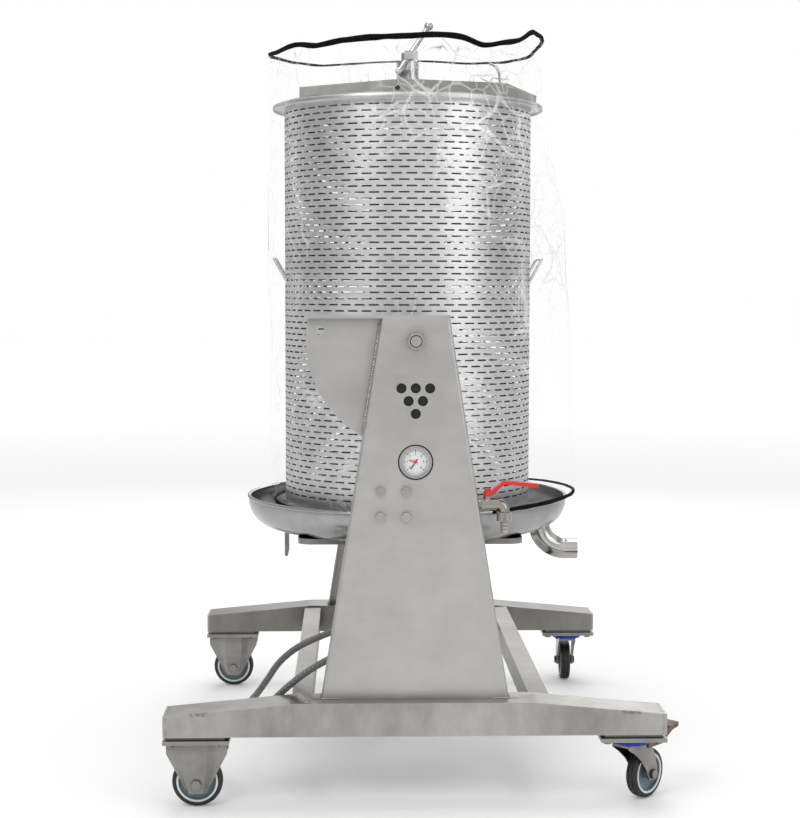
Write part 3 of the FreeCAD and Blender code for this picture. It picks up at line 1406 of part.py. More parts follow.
def wheel(corner, x, y, yaw):
    """A wheel centre with its hub and a tyre, on an axle along its own Y."""
    turn = FreeCAD.Rotation(FreeCAD.Vector(0, 0, 1), yaw)
    width, hub = size.wheel_width, size.hub_length
    web = cylinder(f"{corner}_web", "rim_wheel_radius", 10, (0, -5, 0), "y")
    felly = cylinder(f"{corner}_felly", "rim_wheel_radius", width - 2, (0, 1 - width / 2, 0), "y")
    well = cylinder(f"{corner}_well", "rim_wheel_radius - 4", width, (0, -width / 2, 0), "y")
    barrel = cylinder(f"{corner}_barrel", "axle_radius + 6", hub, (0, -hub / 2, 0), "y")
    bore = cylinder(f"{corner}_bore", "axle_radius + pin_clearance", hub + 4, (0, -hub / 2 - 2, 0), "y")
    band = cut(f"{corner}_band", felly, well)
    rim = cut(f"{corner}_wheel", fuse(f"{corner}_wheel_blank", band, web, barrel), bore)
    rim.Placement = FreeCAD.Placement(FreeCAD.Vector(x, y, size.wheel_radius), turn)
    keep(f"{corner}_wheel", rim)
    outer, inner = "wheel_radius", "rim_wheel_radius"
    half = "wheel_width / 2"
    edge = "wheel_radius - 3"
    corners = [(inner, f"-{half}"), (edge, f"-{half}"), (outer, f"3 - {half}")]
    corners += [(outer, f"{half} - 3"), (edge, half), (inner, half)]
    tyre, _ = revolve(f"{corner}_tyre", corners)
    lay = FreeCAD.Rotation(FreeCAD.Vector(1, 0, 0), 90)
    tyre.Placement = FreeCAD.Placement(FreeCAD.Vector(x, y, size.wheel_radius), turn.multiply(lay))
    keep(f"{corner}_tyre", tyre)


for row_name, row in (("front", -1), ("rear", 1)):
    y = row * size.beam_spacing / 2
    wheel(f"{row_name}_left", -caster_x, y, 0)
    yaw = math.radians(SWIVEL_YAW[row_name])
    wheel_x = caster_x + size.swivel_trail * math.cos(yaw)
    wheel_y = y + size.swivel_trail * math.sin(yaw)
    wheel(f"{row_name}_right", wheel_x, wheel_y, SWIVEL_YAW[row_name])


# Water hose: from the manifold, round a loop beside the tower, to the coupling under the inlet


def tube_path(points):
    """Straight runs joined by tangent arcs, each as large as its two runs allow."""
    spots = [FreeCAD.Vector(*point) for point in points]
    edges, radii = [], []
    previous = spots[0]
    for before, corner, after in zip(spots, spots[1:], spots[2:]):
        inward, outward = before - corner, after - corner
        shorter = min(inward.Length, outward.Length)
        inward.normalize()
        outward.normalize()
        half_turn = (math.pi - inward.getAngle(outward)) / 2
        setback = 0.45 * shorter
        radius = setback / math.tan(half_turn)
        radii.append(radius)
        start, end = corner + inward * setback, corner + outward * setback
        middle = inward + outward
        middle.normalize()
        centre = corner + middle * (setback / math.sin(half_turn))
        crown = centre - middle * radius
        edges.append(Part.LineSegment(previous, start).toShape())
        edges.append(Part.Arc(start, crown, end).toShape())
        previous = end
    edges.append(Part.LineSegment(previous, spots[-1]).toShape())
    return Part.Wire(edges), radii


def hose():
    wire, radii = tube_path(HOSE_POINTS)
    first, second = FreeCAD.Vector(*HOSE_POINTS[0]), FreeCAD.Vector(*HOSE_POINTS[1])
    ring = Part.Wire(Part.makeCircle(size.hose_radius, first, second - first))
    tube = doc.addObject("Part::Feature", "water_hose")
    tube.Shape = wire.makePipeShell([ring], True, False)
    keep("water_hose", tube)
    section = math.pi * size.hose_radius**2
    print("hose length", round(wire.Length, 1), "radii", [round(radius) for radius in radii])
    print("hose volume against section times length", round(tube.Shape.Volume / (section * wire.Length), 4))
    _, union_y, union_low = HOSE_POINTS[-1]
    half = size.rotary_width / 2
    ring = cylinder(
        "rotary_ring", "collar_radius + rotary_wall", "rotary_width", (0, union_y - half, "pivot_height"), "y"
    )
    bore = cylinder(
        "rotary_bore", "collar_radius + pin_clearance", 60, (0, union_y - 30, "pivot_height"), "y"
    )
    stub = cylinder(
        "rotary_stub", "hose_radius + 3",
        size.pivot_height - size.collar_radius - union_low, (0, union_y, union_low)
    )
    keep("rotary_union", cut("rotary_union", fuse("rotary_blank", ring, stub), bore))


hose()

doc.recompute()
faults = []
for item in doc.Objects:
    if any(word in item.State for word in ("Invalid", "Error")):
        faults.append(f"{item.Name}: {item.State}")
for label, item in nodes.items():
    shape = item.Shape
    if shape.isNull() or not shape.isValid() or not shape.Solids:
        faults.append(f"{label}: no valid solid")
if faults:
    raise RuntimeError("; ".join(faults))
# The model is drawn about the cage's axis and handed over about the middle of its footprint
box_of_all = FreeCAD.BoundBox()
for item in nodes.values():
    box_of_all.add(item.Shape.optimalBoundingBox())
middle_x, middle_y = round(box_of_all.Center.x, 2), round(box_of_all.Center.y, 2)
to_footprint = FreeCAD.Vector(-middle_x, -middle_y, 0)
for label, item in nodes.items():
    shape = item.Shape.copy()
    shape.translate(to_footprint)
    shape.exportStep(f"parts/{label}.step")
print(len(nodes), "sub-parts", box_of_all, "footprint middle", middle_x, middle_y)
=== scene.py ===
import math

import bmesh
import bpy
from mathutils import Matrix, Vector, noise

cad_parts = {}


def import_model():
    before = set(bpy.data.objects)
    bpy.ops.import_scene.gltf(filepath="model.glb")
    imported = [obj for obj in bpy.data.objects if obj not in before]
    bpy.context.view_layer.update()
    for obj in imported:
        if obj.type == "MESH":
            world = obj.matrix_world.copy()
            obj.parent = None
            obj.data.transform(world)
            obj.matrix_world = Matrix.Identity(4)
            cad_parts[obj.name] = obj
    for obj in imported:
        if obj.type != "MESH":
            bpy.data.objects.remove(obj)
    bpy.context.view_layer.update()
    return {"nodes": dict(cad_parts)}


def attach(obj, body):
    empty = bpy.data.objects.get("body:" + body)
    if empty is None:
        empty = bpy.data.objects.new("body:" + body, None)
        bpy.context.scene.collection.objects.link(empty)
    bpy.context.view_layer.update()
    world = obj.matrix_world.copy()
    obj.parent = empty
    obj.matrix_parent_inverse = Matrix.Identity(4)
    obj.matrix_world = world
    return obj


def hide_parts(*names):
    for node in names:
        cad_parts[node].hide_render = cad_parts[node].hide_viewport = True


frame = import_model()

NODES = frame["nodes"]

# The drawing's axis is the cage's. The frame's origin is the footprint's centre.
SHIFT = Vector((-0.02265, -0.04513, 0.0))


def at(x, y, z):
    """A point of the drawing in millimetres, as a point of the frame in metres."""
    return Vector((x, y, z)) / 1000 + SHIFT


def smooth_step(value):
    """0 below 0, 1 above 1 and an even turn between them."""
    value = min(max(value, 0.0), 1.0)
    return value * value * (3 - 2 * value)


# Camera

CAMERA_PLACE = (-122.9, -3705.1, 1018.4)
CAMERA_YAW, CAMERA_PITCH, CAMERA_ROLL = 0.02868, -0.07257, -0.0013
camera_data = bpy.data.cameras.new("photo_camera")
camera_data.lens = 72.44
camera_data.sensor_width = 36
camera_data.clip_end = 60
camera = bpy.data.objects.new("photo_camera", camera_data)
bpy.context.scene.collection.objects.link(camera)
camera.location = at(*CAMERA_PLACE)
camera.rotation_euler = (math.pi / 2 + CAMERA_PITCH, CAMERA_ROLL, -CAMERA_YAW)
bpy.context.scene.camera = camera
bpy.context.scene.view_settings.view_transform = "Standard"


# Hose: one free run from behind the front panel, round to the left and up to the pivot

HOSE_ROUTE = [
    (-60, -484.5, 535), (-60, -484.5, 484), (-66, -481.5, 418), (-92, -470.5, 352),
    (-146, -456.5, 294), (-210, -446.5, 258), (-264, -440.5, 214), (-308, -432.5, 166),
    (-342, -414.5, 128), (-380, -376.5, 113), (-396, -322.5, 112), (-380, -270.5, 118),
    (-342, -236.5, 138), (-308, -230.5, 182), (-282, -242.5, 226), (-240, -258.5, 264),
    (-186, -280.5, 292), (-130, -314.5, 320), (-78, -360.5, 356), (-34, -400, 408),
    (2, -420, 474), (24, -427, 548), (30, -428, 624), (24, -428, 700),
    (8, -428, 768), (0, -428, 822), (0, -428, 866),
]
HOSE_DIAMETER = 0.014


def nurbs_curve(name, points):
    """A curve of one open NURBS spline with these control points."""
    data = bpy.data.curves.new(name, "CURVE")
    data.dimensions = "3D"
    spline = data.splines.new("NURBS")
    spline.points.add(len(points) - 1)
    for control, point in zip(spline.points, points):
        control.co = (*point, 1)
    spline.order_u = 3
    spline.use_endpoint_u = True
    spline.resolution_u = 14
    curve = bpy.data.objects.new(name, data)
    bpy.context.scene.collection.objects.link(curve)
    return curve


def cord_curve(name, points, diameter):
    """A round cord along a NURBS spline."""
    curve = nurbs_curve(name, points)
    curve.data.bevel_depth = diameter / 2
    curve.data.bevel_resolution = 5
    curve.data.use_fill_caps = True
    return curve


hose = cord_curve("pressure_hose", [at(*point) for point in HOSE_ROUTE], HOSE_DIAMETER)


# Mesh helpers: above these angles an edge of a turned or a swept piece stays sharp
TURNED_SHARP, SWEPT_SHARP = math.radians(35), math.radians(50)


def new_piece(name, mesh):
    """A linked object with its normals turned outwards."""
    work = bmesh.new()
    work.from_mesh(mesh)
    bmesh.ops.remove_doubles(work, verts=work.verts, dist=1e-6)
    bmesh.ops.recalc_face_normals(work, faces=work.faces)
    work.to_mesh(mesh)
    work.free()
    piece = bpy.data.objects.new(name, mesh)
    bpy.context.scene.collection.objects.link(piece)
    return piece


def from_lists(name, points, faces, sharp=math.radians(40)):
    """A piece from its points and faces, shaded smooth up to a sharp angle."""
    mesh = bpy.data.meshes.new(name)
    mesh.from_pydata([tuple(point) for point in points], [], faces)
    piece = new_piece(name, mesh)
    piece.data.shade_smooth()
    piece.data.set_sharp_from_angle(angle=sharp)
    return piece


def lathe(name, profile, centre, axis="z", steps=64):
    """A closed profile of (radius, height) pairs turned round an axis through the centre."""
    points, faces = [], []
    count = len(profile)
    for step in range(steps):
        angle = 2 * math.pi * step / steps
        for radius, height in profile:
            x, y = radius * math.cos(angle), radius * math.sin(angle)
            spot = {"z": (x, y, height), "y": (x, height, y), "x": (height, x, y)}[axis]
            points.append(centre + Vector(spot) / 1000)
    for step in range(steps):
        here, there = step * count, (step + 1) % steps * count
        for index in range(count):
            other = (index + 1) % count
            faces.append((here + index, here + other, there + other, there + index))
    return from_lists(name, points, faces, sharp=TURNED_SHARP)


def sweep(name, path, radius, sides=10, closed=False):
    """A round rod along points, its radius a number or one per point."""
    count = len(path)
    radii = radius if isinstance(radius, (list, tuple)) else [radius] * count
    points, faces = [], []
    up = Vector((0, 0, 1))
    side = None
    for index, point in enumerate(path):
        before = path[index - 1] if index or closed else point
        after = path[(index + 1) % count] if index + 1 < count or closed else point
        along = (after - before).normalized()
        if side is None:
            side = along.cross(up if abs(along.z) < 0.9 else Vector((1, 0, 0))).normalized()
        side = (side - along * side.dot(along)).normalized()
        rise = along.cross(side)
        for corner in range(sides):
            angle = 2 * math.pi * corner / sides
            offset = side * math.cos(angle) + rise * math.sin(angle)
            points.append(point + offset * radii[index])
    rounds = count if closed else count - 1
    for index in range(rounds):
        here, there = index * sides, (index + 1) % count * sides
        for corner in range(sides):
            other = (corner + 1) % sides
            faces.append((here + corner, here + other, there + other, there + corner))
    if not closed:
        faces.append(tuple(range(sides)))
        faces.append(tuple((count - 1) * sides + corner for corner in range(sides)))
    return from_lists(name, points, faces, sharp=SWEPT_SHARP)


def join(name, pieces):
    """Several mesh pieces as one."""
    work = bmesh.new()
    for piece in pieces:
        extra = piece.data.copy()
        extra.transform(piece.matrix_world)
        work.from_mesh(extra)
        bpy.data.objects.remove(piece)
    mesh = bpy.data.meshes.new(name)
    work.to_mesh(mesh)
    work.free()
    whole = bpy.data.objects.new(name, mesh)
    bpy.context.scene.collection.objects.link(whole)
    whole.data.shade_smooth()
    whole.data.set_sharp_from_angle(angle=math.radians(40))
    return whole


def between(values, share):
    """A smooth reading of evenly spaced values, at a share from 0 to 1 of the closed round."""
    count = len(values)
    place = share % 1 * count
    index = int(place)
    t = place - index
    a, b, c, d = (values[(index + offset) % count] for offset in (-1, 0, 1, 2))
    return b + 0.5 * t * (c - a + t * (2 * a - 5 * b + 4 * c - d + t * (3 * (b - c) + d - a)))


# Materials

def socket_group(name, inputs, outputs):
    """An empty shader group with float, colour and vector sockets."""
    group = bpy.data.node_groups.new(name, "ShaderNodeTree")
    for label, kind, default in inputs:
        socket = group.interface.new_socket(label, in_out="INPUT", socket_type=kind)
        if default is not None:
            socket.default_value = default
    for label, kind in outputs:
        group.interface.new_socket(label, in_out="OUTPUT", socket_type=kind)
    return group, group.nodes.new("NodeGroupInput"), group.nodes.new("NodeGroupOutput")


class Tree:
    """Short ways to add and link nodes in one tree."""

    def __init__(self, tree):
        self.tree = tree

    def add(self, kind, links=None, **settings):
        """A new node with its inputs linked or set and its own settings made."""
        node = self.tree.nodes.new(kind)
        for key, value in settings.items():
            setattr(node, key, value)
        for socket, source in (links or {}).items():
            if isinstance(source, bpy.types.NodeSocket):
                self.tree.links.new(source, node.inputs[socket])
            else:
                node.inputs[socket].default_value = source
        return node

    def math(self, operation, a, b=0.0, clamp=False):
        """The result of one sum on two values."""
        node = self.add("ShaderNodeMath", {0: a, 1: b}, operation=operation, use_clamp=clamp)
        return node.outputs[0]

    def noise(self, vector, scale, detail=3.0, rough=0.5, stretch=(1, 1, 1)):
        """Cloudy noise from 0 to 1, stretched along the axes."""
        moved = self.add("ShaderNodeMapping", {"Vector": vector, "Scale": stretch})
        links = {"Vector": moved.outputs[0], "Scale": scale, "Detail": detail, "Roughness": rough}
        return self.add("ShaderNodeTexNoise", links).outputs["Fac"]

    def ramp(self, value, stops):
        """Grey levels or colours at places along a value."""
        node = self.add("ShaderNodeValToRGB", {"Fac": value})
        ramp = node.color_ramp
        while len(ramp.elements) < len(stops):
            ramp.elements.new(0.5)
        for element, (place, level) in zip(ramp.elements, stops):
            element.position = place
            element.color = (level, level, level, 1) if isinstance(level, (int, float)) else (*level, 1)
        return node.outputs["Color"]

    def mix(self, factor, a, b, blend="MIX"):
        """Two colours blended by a factor."""
        node = self.add("ShaderNodeMix", data_type="RGBA", blend_type=blend)
        for index, source in ((0, factor), (6, a), (7, b)):
            if isinstance(source, bpy.types.NodeSocket):
                self.tree.links.new(source, node.inputs[index])
            elif isinstance(source, (int, float)):
                node.inputs[index].default_value = source if index == 0 else (source, source, source, 1)
            else:
                node.inputs[index].default_value = (*source, 1)
        return node.outputs[2]


def grain_group():
    """Brushed metal: fine lines along one direction, soft cloudy tone and a few marks of handling."""
    inputs = [("Vector", "NodeSocketVector", None), ("Lines", "NodeSocketFloat", 600.0)]
    outputs = [("Tone", "NodeSocketFloat"), ("Wear", "NodeSocketFloat"), ("Height", "NodeSocketFloat")]
    group, start, end = socket_group("brushed_grain", inputs, outputs)
    tree = Tree(group)
    vector = start.outputs["Vector"]
    fine = tree.noise(vector, start.outputs["Lines"], 2.0, 0.6, (0.02, 1, 1))
    cloud = tree.noise(vector, 5.0, 4.0, 0.6)
    patch = tree.noise(vector, 26.0, 5.0, 0.65, (1, 1, 0.45))
    scratch = tree.noise(vector, 170.0, 2.0, 0.4, (0.06, 0.9, 1))
    mark = tree.math("MULTIPLY", tree.math("SUBTRACT", scratch, 0.62), 6.0, True)
    tone = tree.math("ADD", tree.math("MULTIPLY", cloud, 0.62), tree.math("MULTIPLY", patch, 0.38))
    wear = tree.math("ADD", tree.math("MULTIPLY", patch, 0.7), tree.math("MULTIPLY", mark, 0.3), True)
    group.links.new(tone, end.inputs["Tone"])
    group.links.new(wear, end.inputs["Wear"])
    group.links.new(tree.math("ADD", fine, tree.math("MULTIPLY", patch, 0.3)), end.inputs["Height"])
    return group


def edge_group():
    """How sharply the surface turns under a point: 0 on flats, 1 on edges and in corners; and how closed in a
    point is, for painted shade in hollows.
    """
    outputs = [("Edge", "NodeSocketFloat"), ("Hollow", "NodeSocketFloat")]
    group, _, end = socket_group("edge_wear_and_hollow_shade", [("Reach", "NodeSocketFloat", 0.0015)], outputs)
    tree = Tree(group)
    start = group.nodes["Group Input"]
    bevel = tree.add("ShaderNodeBevel", {"Radius": start.outputs["Reach"]}, samples=4)
    plain = tree.add("ShaderNodeNewGeometry").outputs["Normal"]
    dot = tree.add("ShaderNodeVectorMath", {0: bevel.outputs[0], 1: plain}, operation="DOT_PRODUCT")
    edge = tree.math("MULTIPLY", tree.math("SUBTRACT", 1.0, dot.outputs["Value"]), 5.0, True)
    group.links.new(edge, end.inputs["Edge"])
    near = tree.add("ShaderNodeAmbientOcclusion", {"Distance": 0.02}, samples=4)
    group.links.new(tree.math("SUBTRACT", 1.0, near.outputs["AO"]), end.inputs["Hollow"])
    return group


GRAIN = grain_group()
EDGE = edge_group()


def begin(name):
    """A new material with its tree, Principled shader and object coordinates."""
    material = bpy.data.materials.new(name)
    material.use_nodes = True
    shader = material.node_tree.nodes["Principled BSDF"]
    tree = Tree(material.node_tree)
    coords = tree.add("ShaderNodeTexCoord").outputs["Object"]
    return material, tree, shader, coords


def bump(tree, shader, height, strength, distance=0.001):
    """Gives the shader a bump from a height."""
    node = tree.add("ShaderNodeBump", {"Height": height, "Strength": strength, "Distance": distance})
    tree.tree.links.new(node.outputs[0], shader.inputs["Normal"])


def heat_tint(tree, coords, middle, half, top):
    """A brown-black mark: a soft box round a point, broken up by noise; weld tint at welds, painted shade
    where it darkens a seam gap.
    """
    away = tree.add("ShaderNodeVectorMath", {0: coords, 1: tuple(middle)}, operation="SUBTRACT").outputs[0]
    parts = tree.add("ShaderNodeSeparateXYZ", {0: away})
    mask = None
    for axis, reach in enumerate(half):
        near = tree.math("SUBTRACT", reach, tree.math("ABSOLUTE", parts.outputs[axis]))
        near = tree.math("MULTIPLY", near, 260.0, True)
        mask = near if mask is None else tree.math("MULTIPLY", mask, near)
    rough = tree.math("MULTIPLY", tree.math("SUBTRACT", tree.noise(coords, 130.0, 5.0, 0.7), 0.36), 5.0, True)
    return tree.math("MULTIPLY", tree.math("MULTIPLY", mask, rough), top)


def steel(name, dark, light, rough, turn=(0, 0, 0), lines=600.0, grain=0.25, hollow_shade=0.55,
          dark_marks=(), inside=None):
    """Stainless or plated steel: brushed grain, cloudy tone, brighter edges and painted shade in hollows."""
    material, tree, shader, coords = begin(name)
    turned = tree.add("ShaderNodeMapping", {"Vector": coords, "Rotation": turn}).outputs[0]
    grain_node = tree.add("ShaderNodeGroup", node_tree=GRAIN)
    tree.tree.links.new(turned, grain_node.inputs["Vector"])
    grain_node.inputs["Lines"].default_value = lines
    edge = tree.add("ShaderNodeGroup", node_tree=EDGE)
    tone = tree.ramp(grain_node.outputs["Tone"], [(0.3, dark), (0.7, light)])
    bright = tuple(min(1.0, value * 1.12) for value in light)
    worn = tree.mix(tree.math("MULTIPLY", edge.outputs["Edge"], 0.6), tone, bright)
    # Painted shade: hollows and tight corners, found by ambient occlusion, darken towards a third of the dark
    # tone.
    hollow_shade_colour = tuple(value * 0.3 for value in dark)
    final = tree.mix(tree.math("MULTIPLY", edge.outputs["Hollow"], hollow_shade), worn, hollow_shade_colour)
    # Dark marks: weld tint, and painted shade in seam gaps.
    for middle, half, top in dark_marks:
        final = tree.mix(heat_tint(tree, coords, middle, half, top), final, (0.12, 0.10, 0.085))
    # Painted shade: within the given radius of the axis the colour is made near black.
    if inside:
        axis, radius = inside
        away = tree.add("ShaderNodeVectorMath", {0: coords, 1: tuple(axis)}, operation="SUBTRACT").outputs[0]
        flat = tree.add("ShaderNodeVectorMath", {0: away, 1: (1, 1, 0)}, operation="MULTIPLY").outputs[0]
        reach = tree.add("ShaderNodeVectorMath", {0: flat}, operation="LENGTH").outputs["Value"]
        final = tree.mix(tree.math("LESS_THAN", reach, radius), final, (0.03, 0.03, 0.032))
    tree.tree.links.new(final, shader.inputs["Base Color"])
    shader.inputs["Metallic"].default_value = 1.0
    spread = tree.add("ShaderNodeMapRange", {"Value": grain_node.outputs["Wear"]})
    spread.inputs["To Min"].default_value = rough * 0.8
    spread.inputs["To Max"].default_value = rough * 1.25
    tree.tree.links.new(spread.outputs[0], shader.inputs["Roughness"])
    bump(tree, shader, grain_node.outputs["Height"], grain, 0.0004)
    return material


def plastic(name, dark, light, rough, coat=0.0):
    """Moulded plastic or paint with a fine grain, small colour drift and paler worn edges."""
    material, tree, shader, coords = begin(name)
    cloud = tree.noise(coords, 30.0, 4.0, 0.6)
    tone = tree.ramp(cloud, [(0.3, dark), (0.7, light)])
    edge = tree.add("ShaderNodeGroup", node_tree=EDGE)
    pale = tuple(min(1.0, value * 1.35 + 0.02) for value in light)
    worn = tree.mix(tree.math("MULTIPLY", edge.outputs["Edge"], 0.5), tone, pale)
    tree.tree.links.new(worn, shader.inputs["Base Color"])
    fine = tree.noise(coords, 900.0, 2.0, 0.5)
    spread = tree.add("ShaderNodeMapRange", {"Value": cloud})
    spread.inputs["To Min"].default_value = rough * 0.85
    spread.inputs["To Max"].default_value = rough * 1.2
    tree.tree.links.new(spread.outputs[0], shader.inputs["Roughness"])
    shader.inputs["Coat Weight"].default_value = coat
    bump(tree, shader, fine, 0.15, 0.0003)
    return material


def crease_group():
    """Creases of a crumpled film: thin straight lines between facets of two sizes, and where they show."""
    inputs = [("Vector", "NodeSocketVector", None)]
    outputs = [("Line", "NodeSocketFloat"), ("Fine", "NodeSocketFloat"), ("Patch", "NodeSocketFloat")]
    group, start, end = socket_group("film_creases", inputs, outputs)
    tree = Tree(group)
    vector = start.outputs["Vector"]
    drift = tree.add("ShaderNodeTexNoise", {"Vector": vector, "Scale": 5.0, "Detail": 2.0}).outputs["Color"]
    bent = tree.add("ShaderNodeVectorMath", {0: drift, 1: (0.12, 0.12, 0.12)}, operation="MULTIPLY")
    bent = bent.outputs[0]
    moved = tree.add("ShaderNodeVectorMath", {0: vector, 1: bent}, operation="ADD").outputs[0]
    for label, scale, sharp in (("Line", 9.0, 26.0), ("Fine", 23.0, 16.0)):
        links = {"Vector": moved, "Scale": scale}
        cells = tree.add("ShaderNodeTexVoronoi", links, feature="DISTANCE_TO_EDGE")
        near = tree.math("MULTIPLY", cells.outputs["Distance"], sharp)
        group.links.new(tree.math("SUBTRACT", 1.0, near, True), end.inputs[label])
    cloud = tree.noise(vector, 4.0, 4.0, 0.6, (1, 1, 0.6))
    patch = tree.math("MULTIPLY", tree.math("SUBTRACT", cloud, 0.47), 6.0, True)
    group.links.new(patch, end.inputs["Patch"])
    return group


CREASES = crease_group()

# Heights in metres from which the film bunches up, and of the band that is pressed together
COLLAR_LOW, BUNCHED_AT = 1.43, 1.512


def film_material():
    """Clear soft film: almost nothing face on, a grey line where it turns away, white along its creases,
    partly its own crease whitening and partly painted highlights, and a faint painted glow.
    """
    material, tree, shader, coords = begin("clear_film")
    facing = tree.add("ShaderNodeLayerWeight", {"Blend": 0.22}).outputs["Facing"]
    rim = tree.math("POWER", facing, 9.0)
    creases = tree.add("ShaderNodeGroup", node_tree=CREASES)
    tree.tree.links.new(coords, creases.inputs["Vector"])
    line, fine, patch = (creases.outputs[label] for label in ("Line", "Fine", "Patch"))
    # Whiter creases: partly the film's own whitening, partly painted highlights.
    crease_white_and_glint = tree.math("MULTIPLY", tree.math("MAXIMUM", line, tree.math("MULTIPLY", fine, 0.6)), patch)
    height = tree.add("ShaderNodeSeparateXYZ", {0: coords}).outputs[2]
    collar = tree.math("MULTIPLY", tree.math("SUBTRACT", height, COLLAR_LOW), 14.0, True)
    band = tree.math("ABSOLUTE", tree.math("SUBTRACT", height, BUNCHED_AT))
    band = tree.math("SUBTRACT", 1.0, tree.math("MULTIPLY", band, 70.0), True)
    band = tree.math("MULTIPLY", band, tree.math("MULTIPLY", fine, patch))
    lines = tree.math("MAXIMUM", tree.math("MULTIPLY", crease_white_and_glint, 0.8), tree.math("MULTIPLY", line, 0.35))
    thin = tree.math("MULTIPLY", tree.math("MULTIPLY", lines, collar), 0.5)
    thin = tree.math("MAXIMUM", thin, tree.math("MULTIPLY", band, 0.8))
    alpha = tree.math("ADD", tree.math("MULTIPLY", rim, 0.5), tree.math("MULTIPLY", crease_white_and_glint, 0.36))
    alpha = tree.math("ADD", tree.math("MAXIMUM", alpha, thin), 0.016, True)
    tree.tree.links.new(alpha, shader.inputs["Alpha"])
    grey = tree.math("MAXIMUM", rim, tree.math("MULTIPLY", thin, 2.0, True))
    colour = tree.mix(grey, (0.97, 0.98, 0.99), (0.25, 0.27, 0.29))
    tree.tree.links.new(colour, shader.inputs["Base Color"])
    # Painted light: the film glows faintly in its own colour, so that it stays white over the white surround.
    tree.tree.links.new(colour, shader.inputs["Emission Color"])
    shader.inputs["Emission Strength"].default_value = 0.22
    shader.inputs["Roughness"].default_value = 0.07
    shader.inputs["Specular IOR Level"].default_value = 0.8
    bump(tree, shader, tree.math("ADD", line, tree.math("MULTIPLY", fine, 0.5)), 0.5, 0.004)
    return material


def hem_material():
    """Black woven tape."""
    material, tree, shader, coords = begin("hem_fabric")
    weave = tree.add("ShaderNodeTexWave", {"Vector": coords, "Scale": 260.0, "Distortion": 1.5})
    cloud = tree.noise(coords, 60.0, 4.0, 0.6)
    tone = tree.ramp(cloud, [(0.3, (0.001, 0.001, 0.001)), (0.75, (0.005, 0.005, 0.0055))])
    tree.tree.links.new(tone, shader.inputs["Base Color"])
    shader.inputs["Roughness"].default_value = 0.9
    shader.inputs["Specular IOR Level"].default_value = 0.15
    bump(tree, shader, weave.outputs["Fac"], 0.4, 0.0006)
    return material


def braid_material():
    """Stainless wire braid: crossing strands that go round the hose."""
    material, tree, shader, coords = begin("wire_braid")
    one = tree.add("ShaderNodeTexWave", {"Scale": 240.0, "Distortion": 0.6}, bands_direction="DIAGONAL")
    flipped = tree.add("ShaderNodeMapping", {"Vector": coords, "Rotation": (0.4, 1.9, 1.2)})
    turned = tree.add("ShaderNodeMapping", {"Vector": coords, "Rotation": (0.9, 0.2, -0.5)})
    two = tree.add("ShaderNodeTexWave", {"Scale": 240.0, "Distortion": 0.6}, bands_direction="DIAGONAL")
    tree.tree.links.new(turned.outputs[0], one.inputs["Vector"])
    tree.tree.links.new(flipped.outputs[0], two.inputs["Vector"])
    woven = tree.math("MULTIPLY", one.outputs["Fac"], two.outputs["Fac"])
    strands = [(0.02, (0.14, 0.14, 0.14)), (0.5, (0.34, 0.34, 0.33)), (0.95, (0.55, 0.55, 0.53))]
    tone = tree.ramp(woven, strands)
    tree.tree.links.new(tone, shader.inputs["Base Color"])
    shader.inputs["Metallic"].default_value = 0.9
    shader.inputs["Roughness"].default_value = 0.38
    bump(tree, shader, woven, 0.8, 0.0012)
    return material


def glass_material():
    """Gauge lens: clear, with a soft gloss."""
    material, tree, shader, coords = begin("lens_glass")
    dust = tree.noise(coords, 300.0, 3.0, 0.6)
    haze = tree.math("ADD", tree.math("MULTIPLY", tree.math("SUBTRACT", dust, 0.5), 0.08, True), 0.04)
    tree.tree.links.new(haze, shader.inputs["Alpha"])
    shader.inputs["Base Color"].default_value = (0.96, 0.98, 0.98, 1)
    shader.inputs["Roughness"].default_value = 0.03
    return material


WARM_DARK, WARM_LIGHT = (0.46, 0.452, 0.437), (0.61, 0.603, 0.588)
BEAM_DARK, BEAM_LIGHT = (0.26, 0.25, 0.235), (0.56, 0.545, 0.525)
CAGE_DARK, CAGE_LIGHT = (0.58, 0.58, 0.585), (0.84, 0.84, 0.845)

# Axis and radius of the cage inside which its wall is painted near black, as painted shade
CAGE_SHADED_INSIDE = (at(0, 0, 0), 0.2737)

# Dark marks on the front beam: weld tint where the braces and the towers' feet meet it, painted shade in the
# seam gaps at its ends and along its front top edge.
WELD_TINT_AND_GAP_SHADE = [
    (at(-226, -500, 209), (0.023, 0.042, 0.006), 0.85),
    (at(224, -500, 209), (0.018, 0.03, 0.006), 0.5),
    (at(196, -506, 213), (0.012, 0.012, 0.006), 0.8),
    (at(-196, -506, 213), (0.012, 0.012, 0.006), 0.8),
    (at(424, -542, 194), (0.02, 0.006, 0.008), 0.6),
    (at(-424, -542, 194), (0.02, 0.006, 0.008), 0.6),
    (at(-488, -500, 167), (0.004, 0.045, 0.03), 0.6),
    (at(488, -500, 167), (0.004, 0.045, 0.03), 0.6),
]

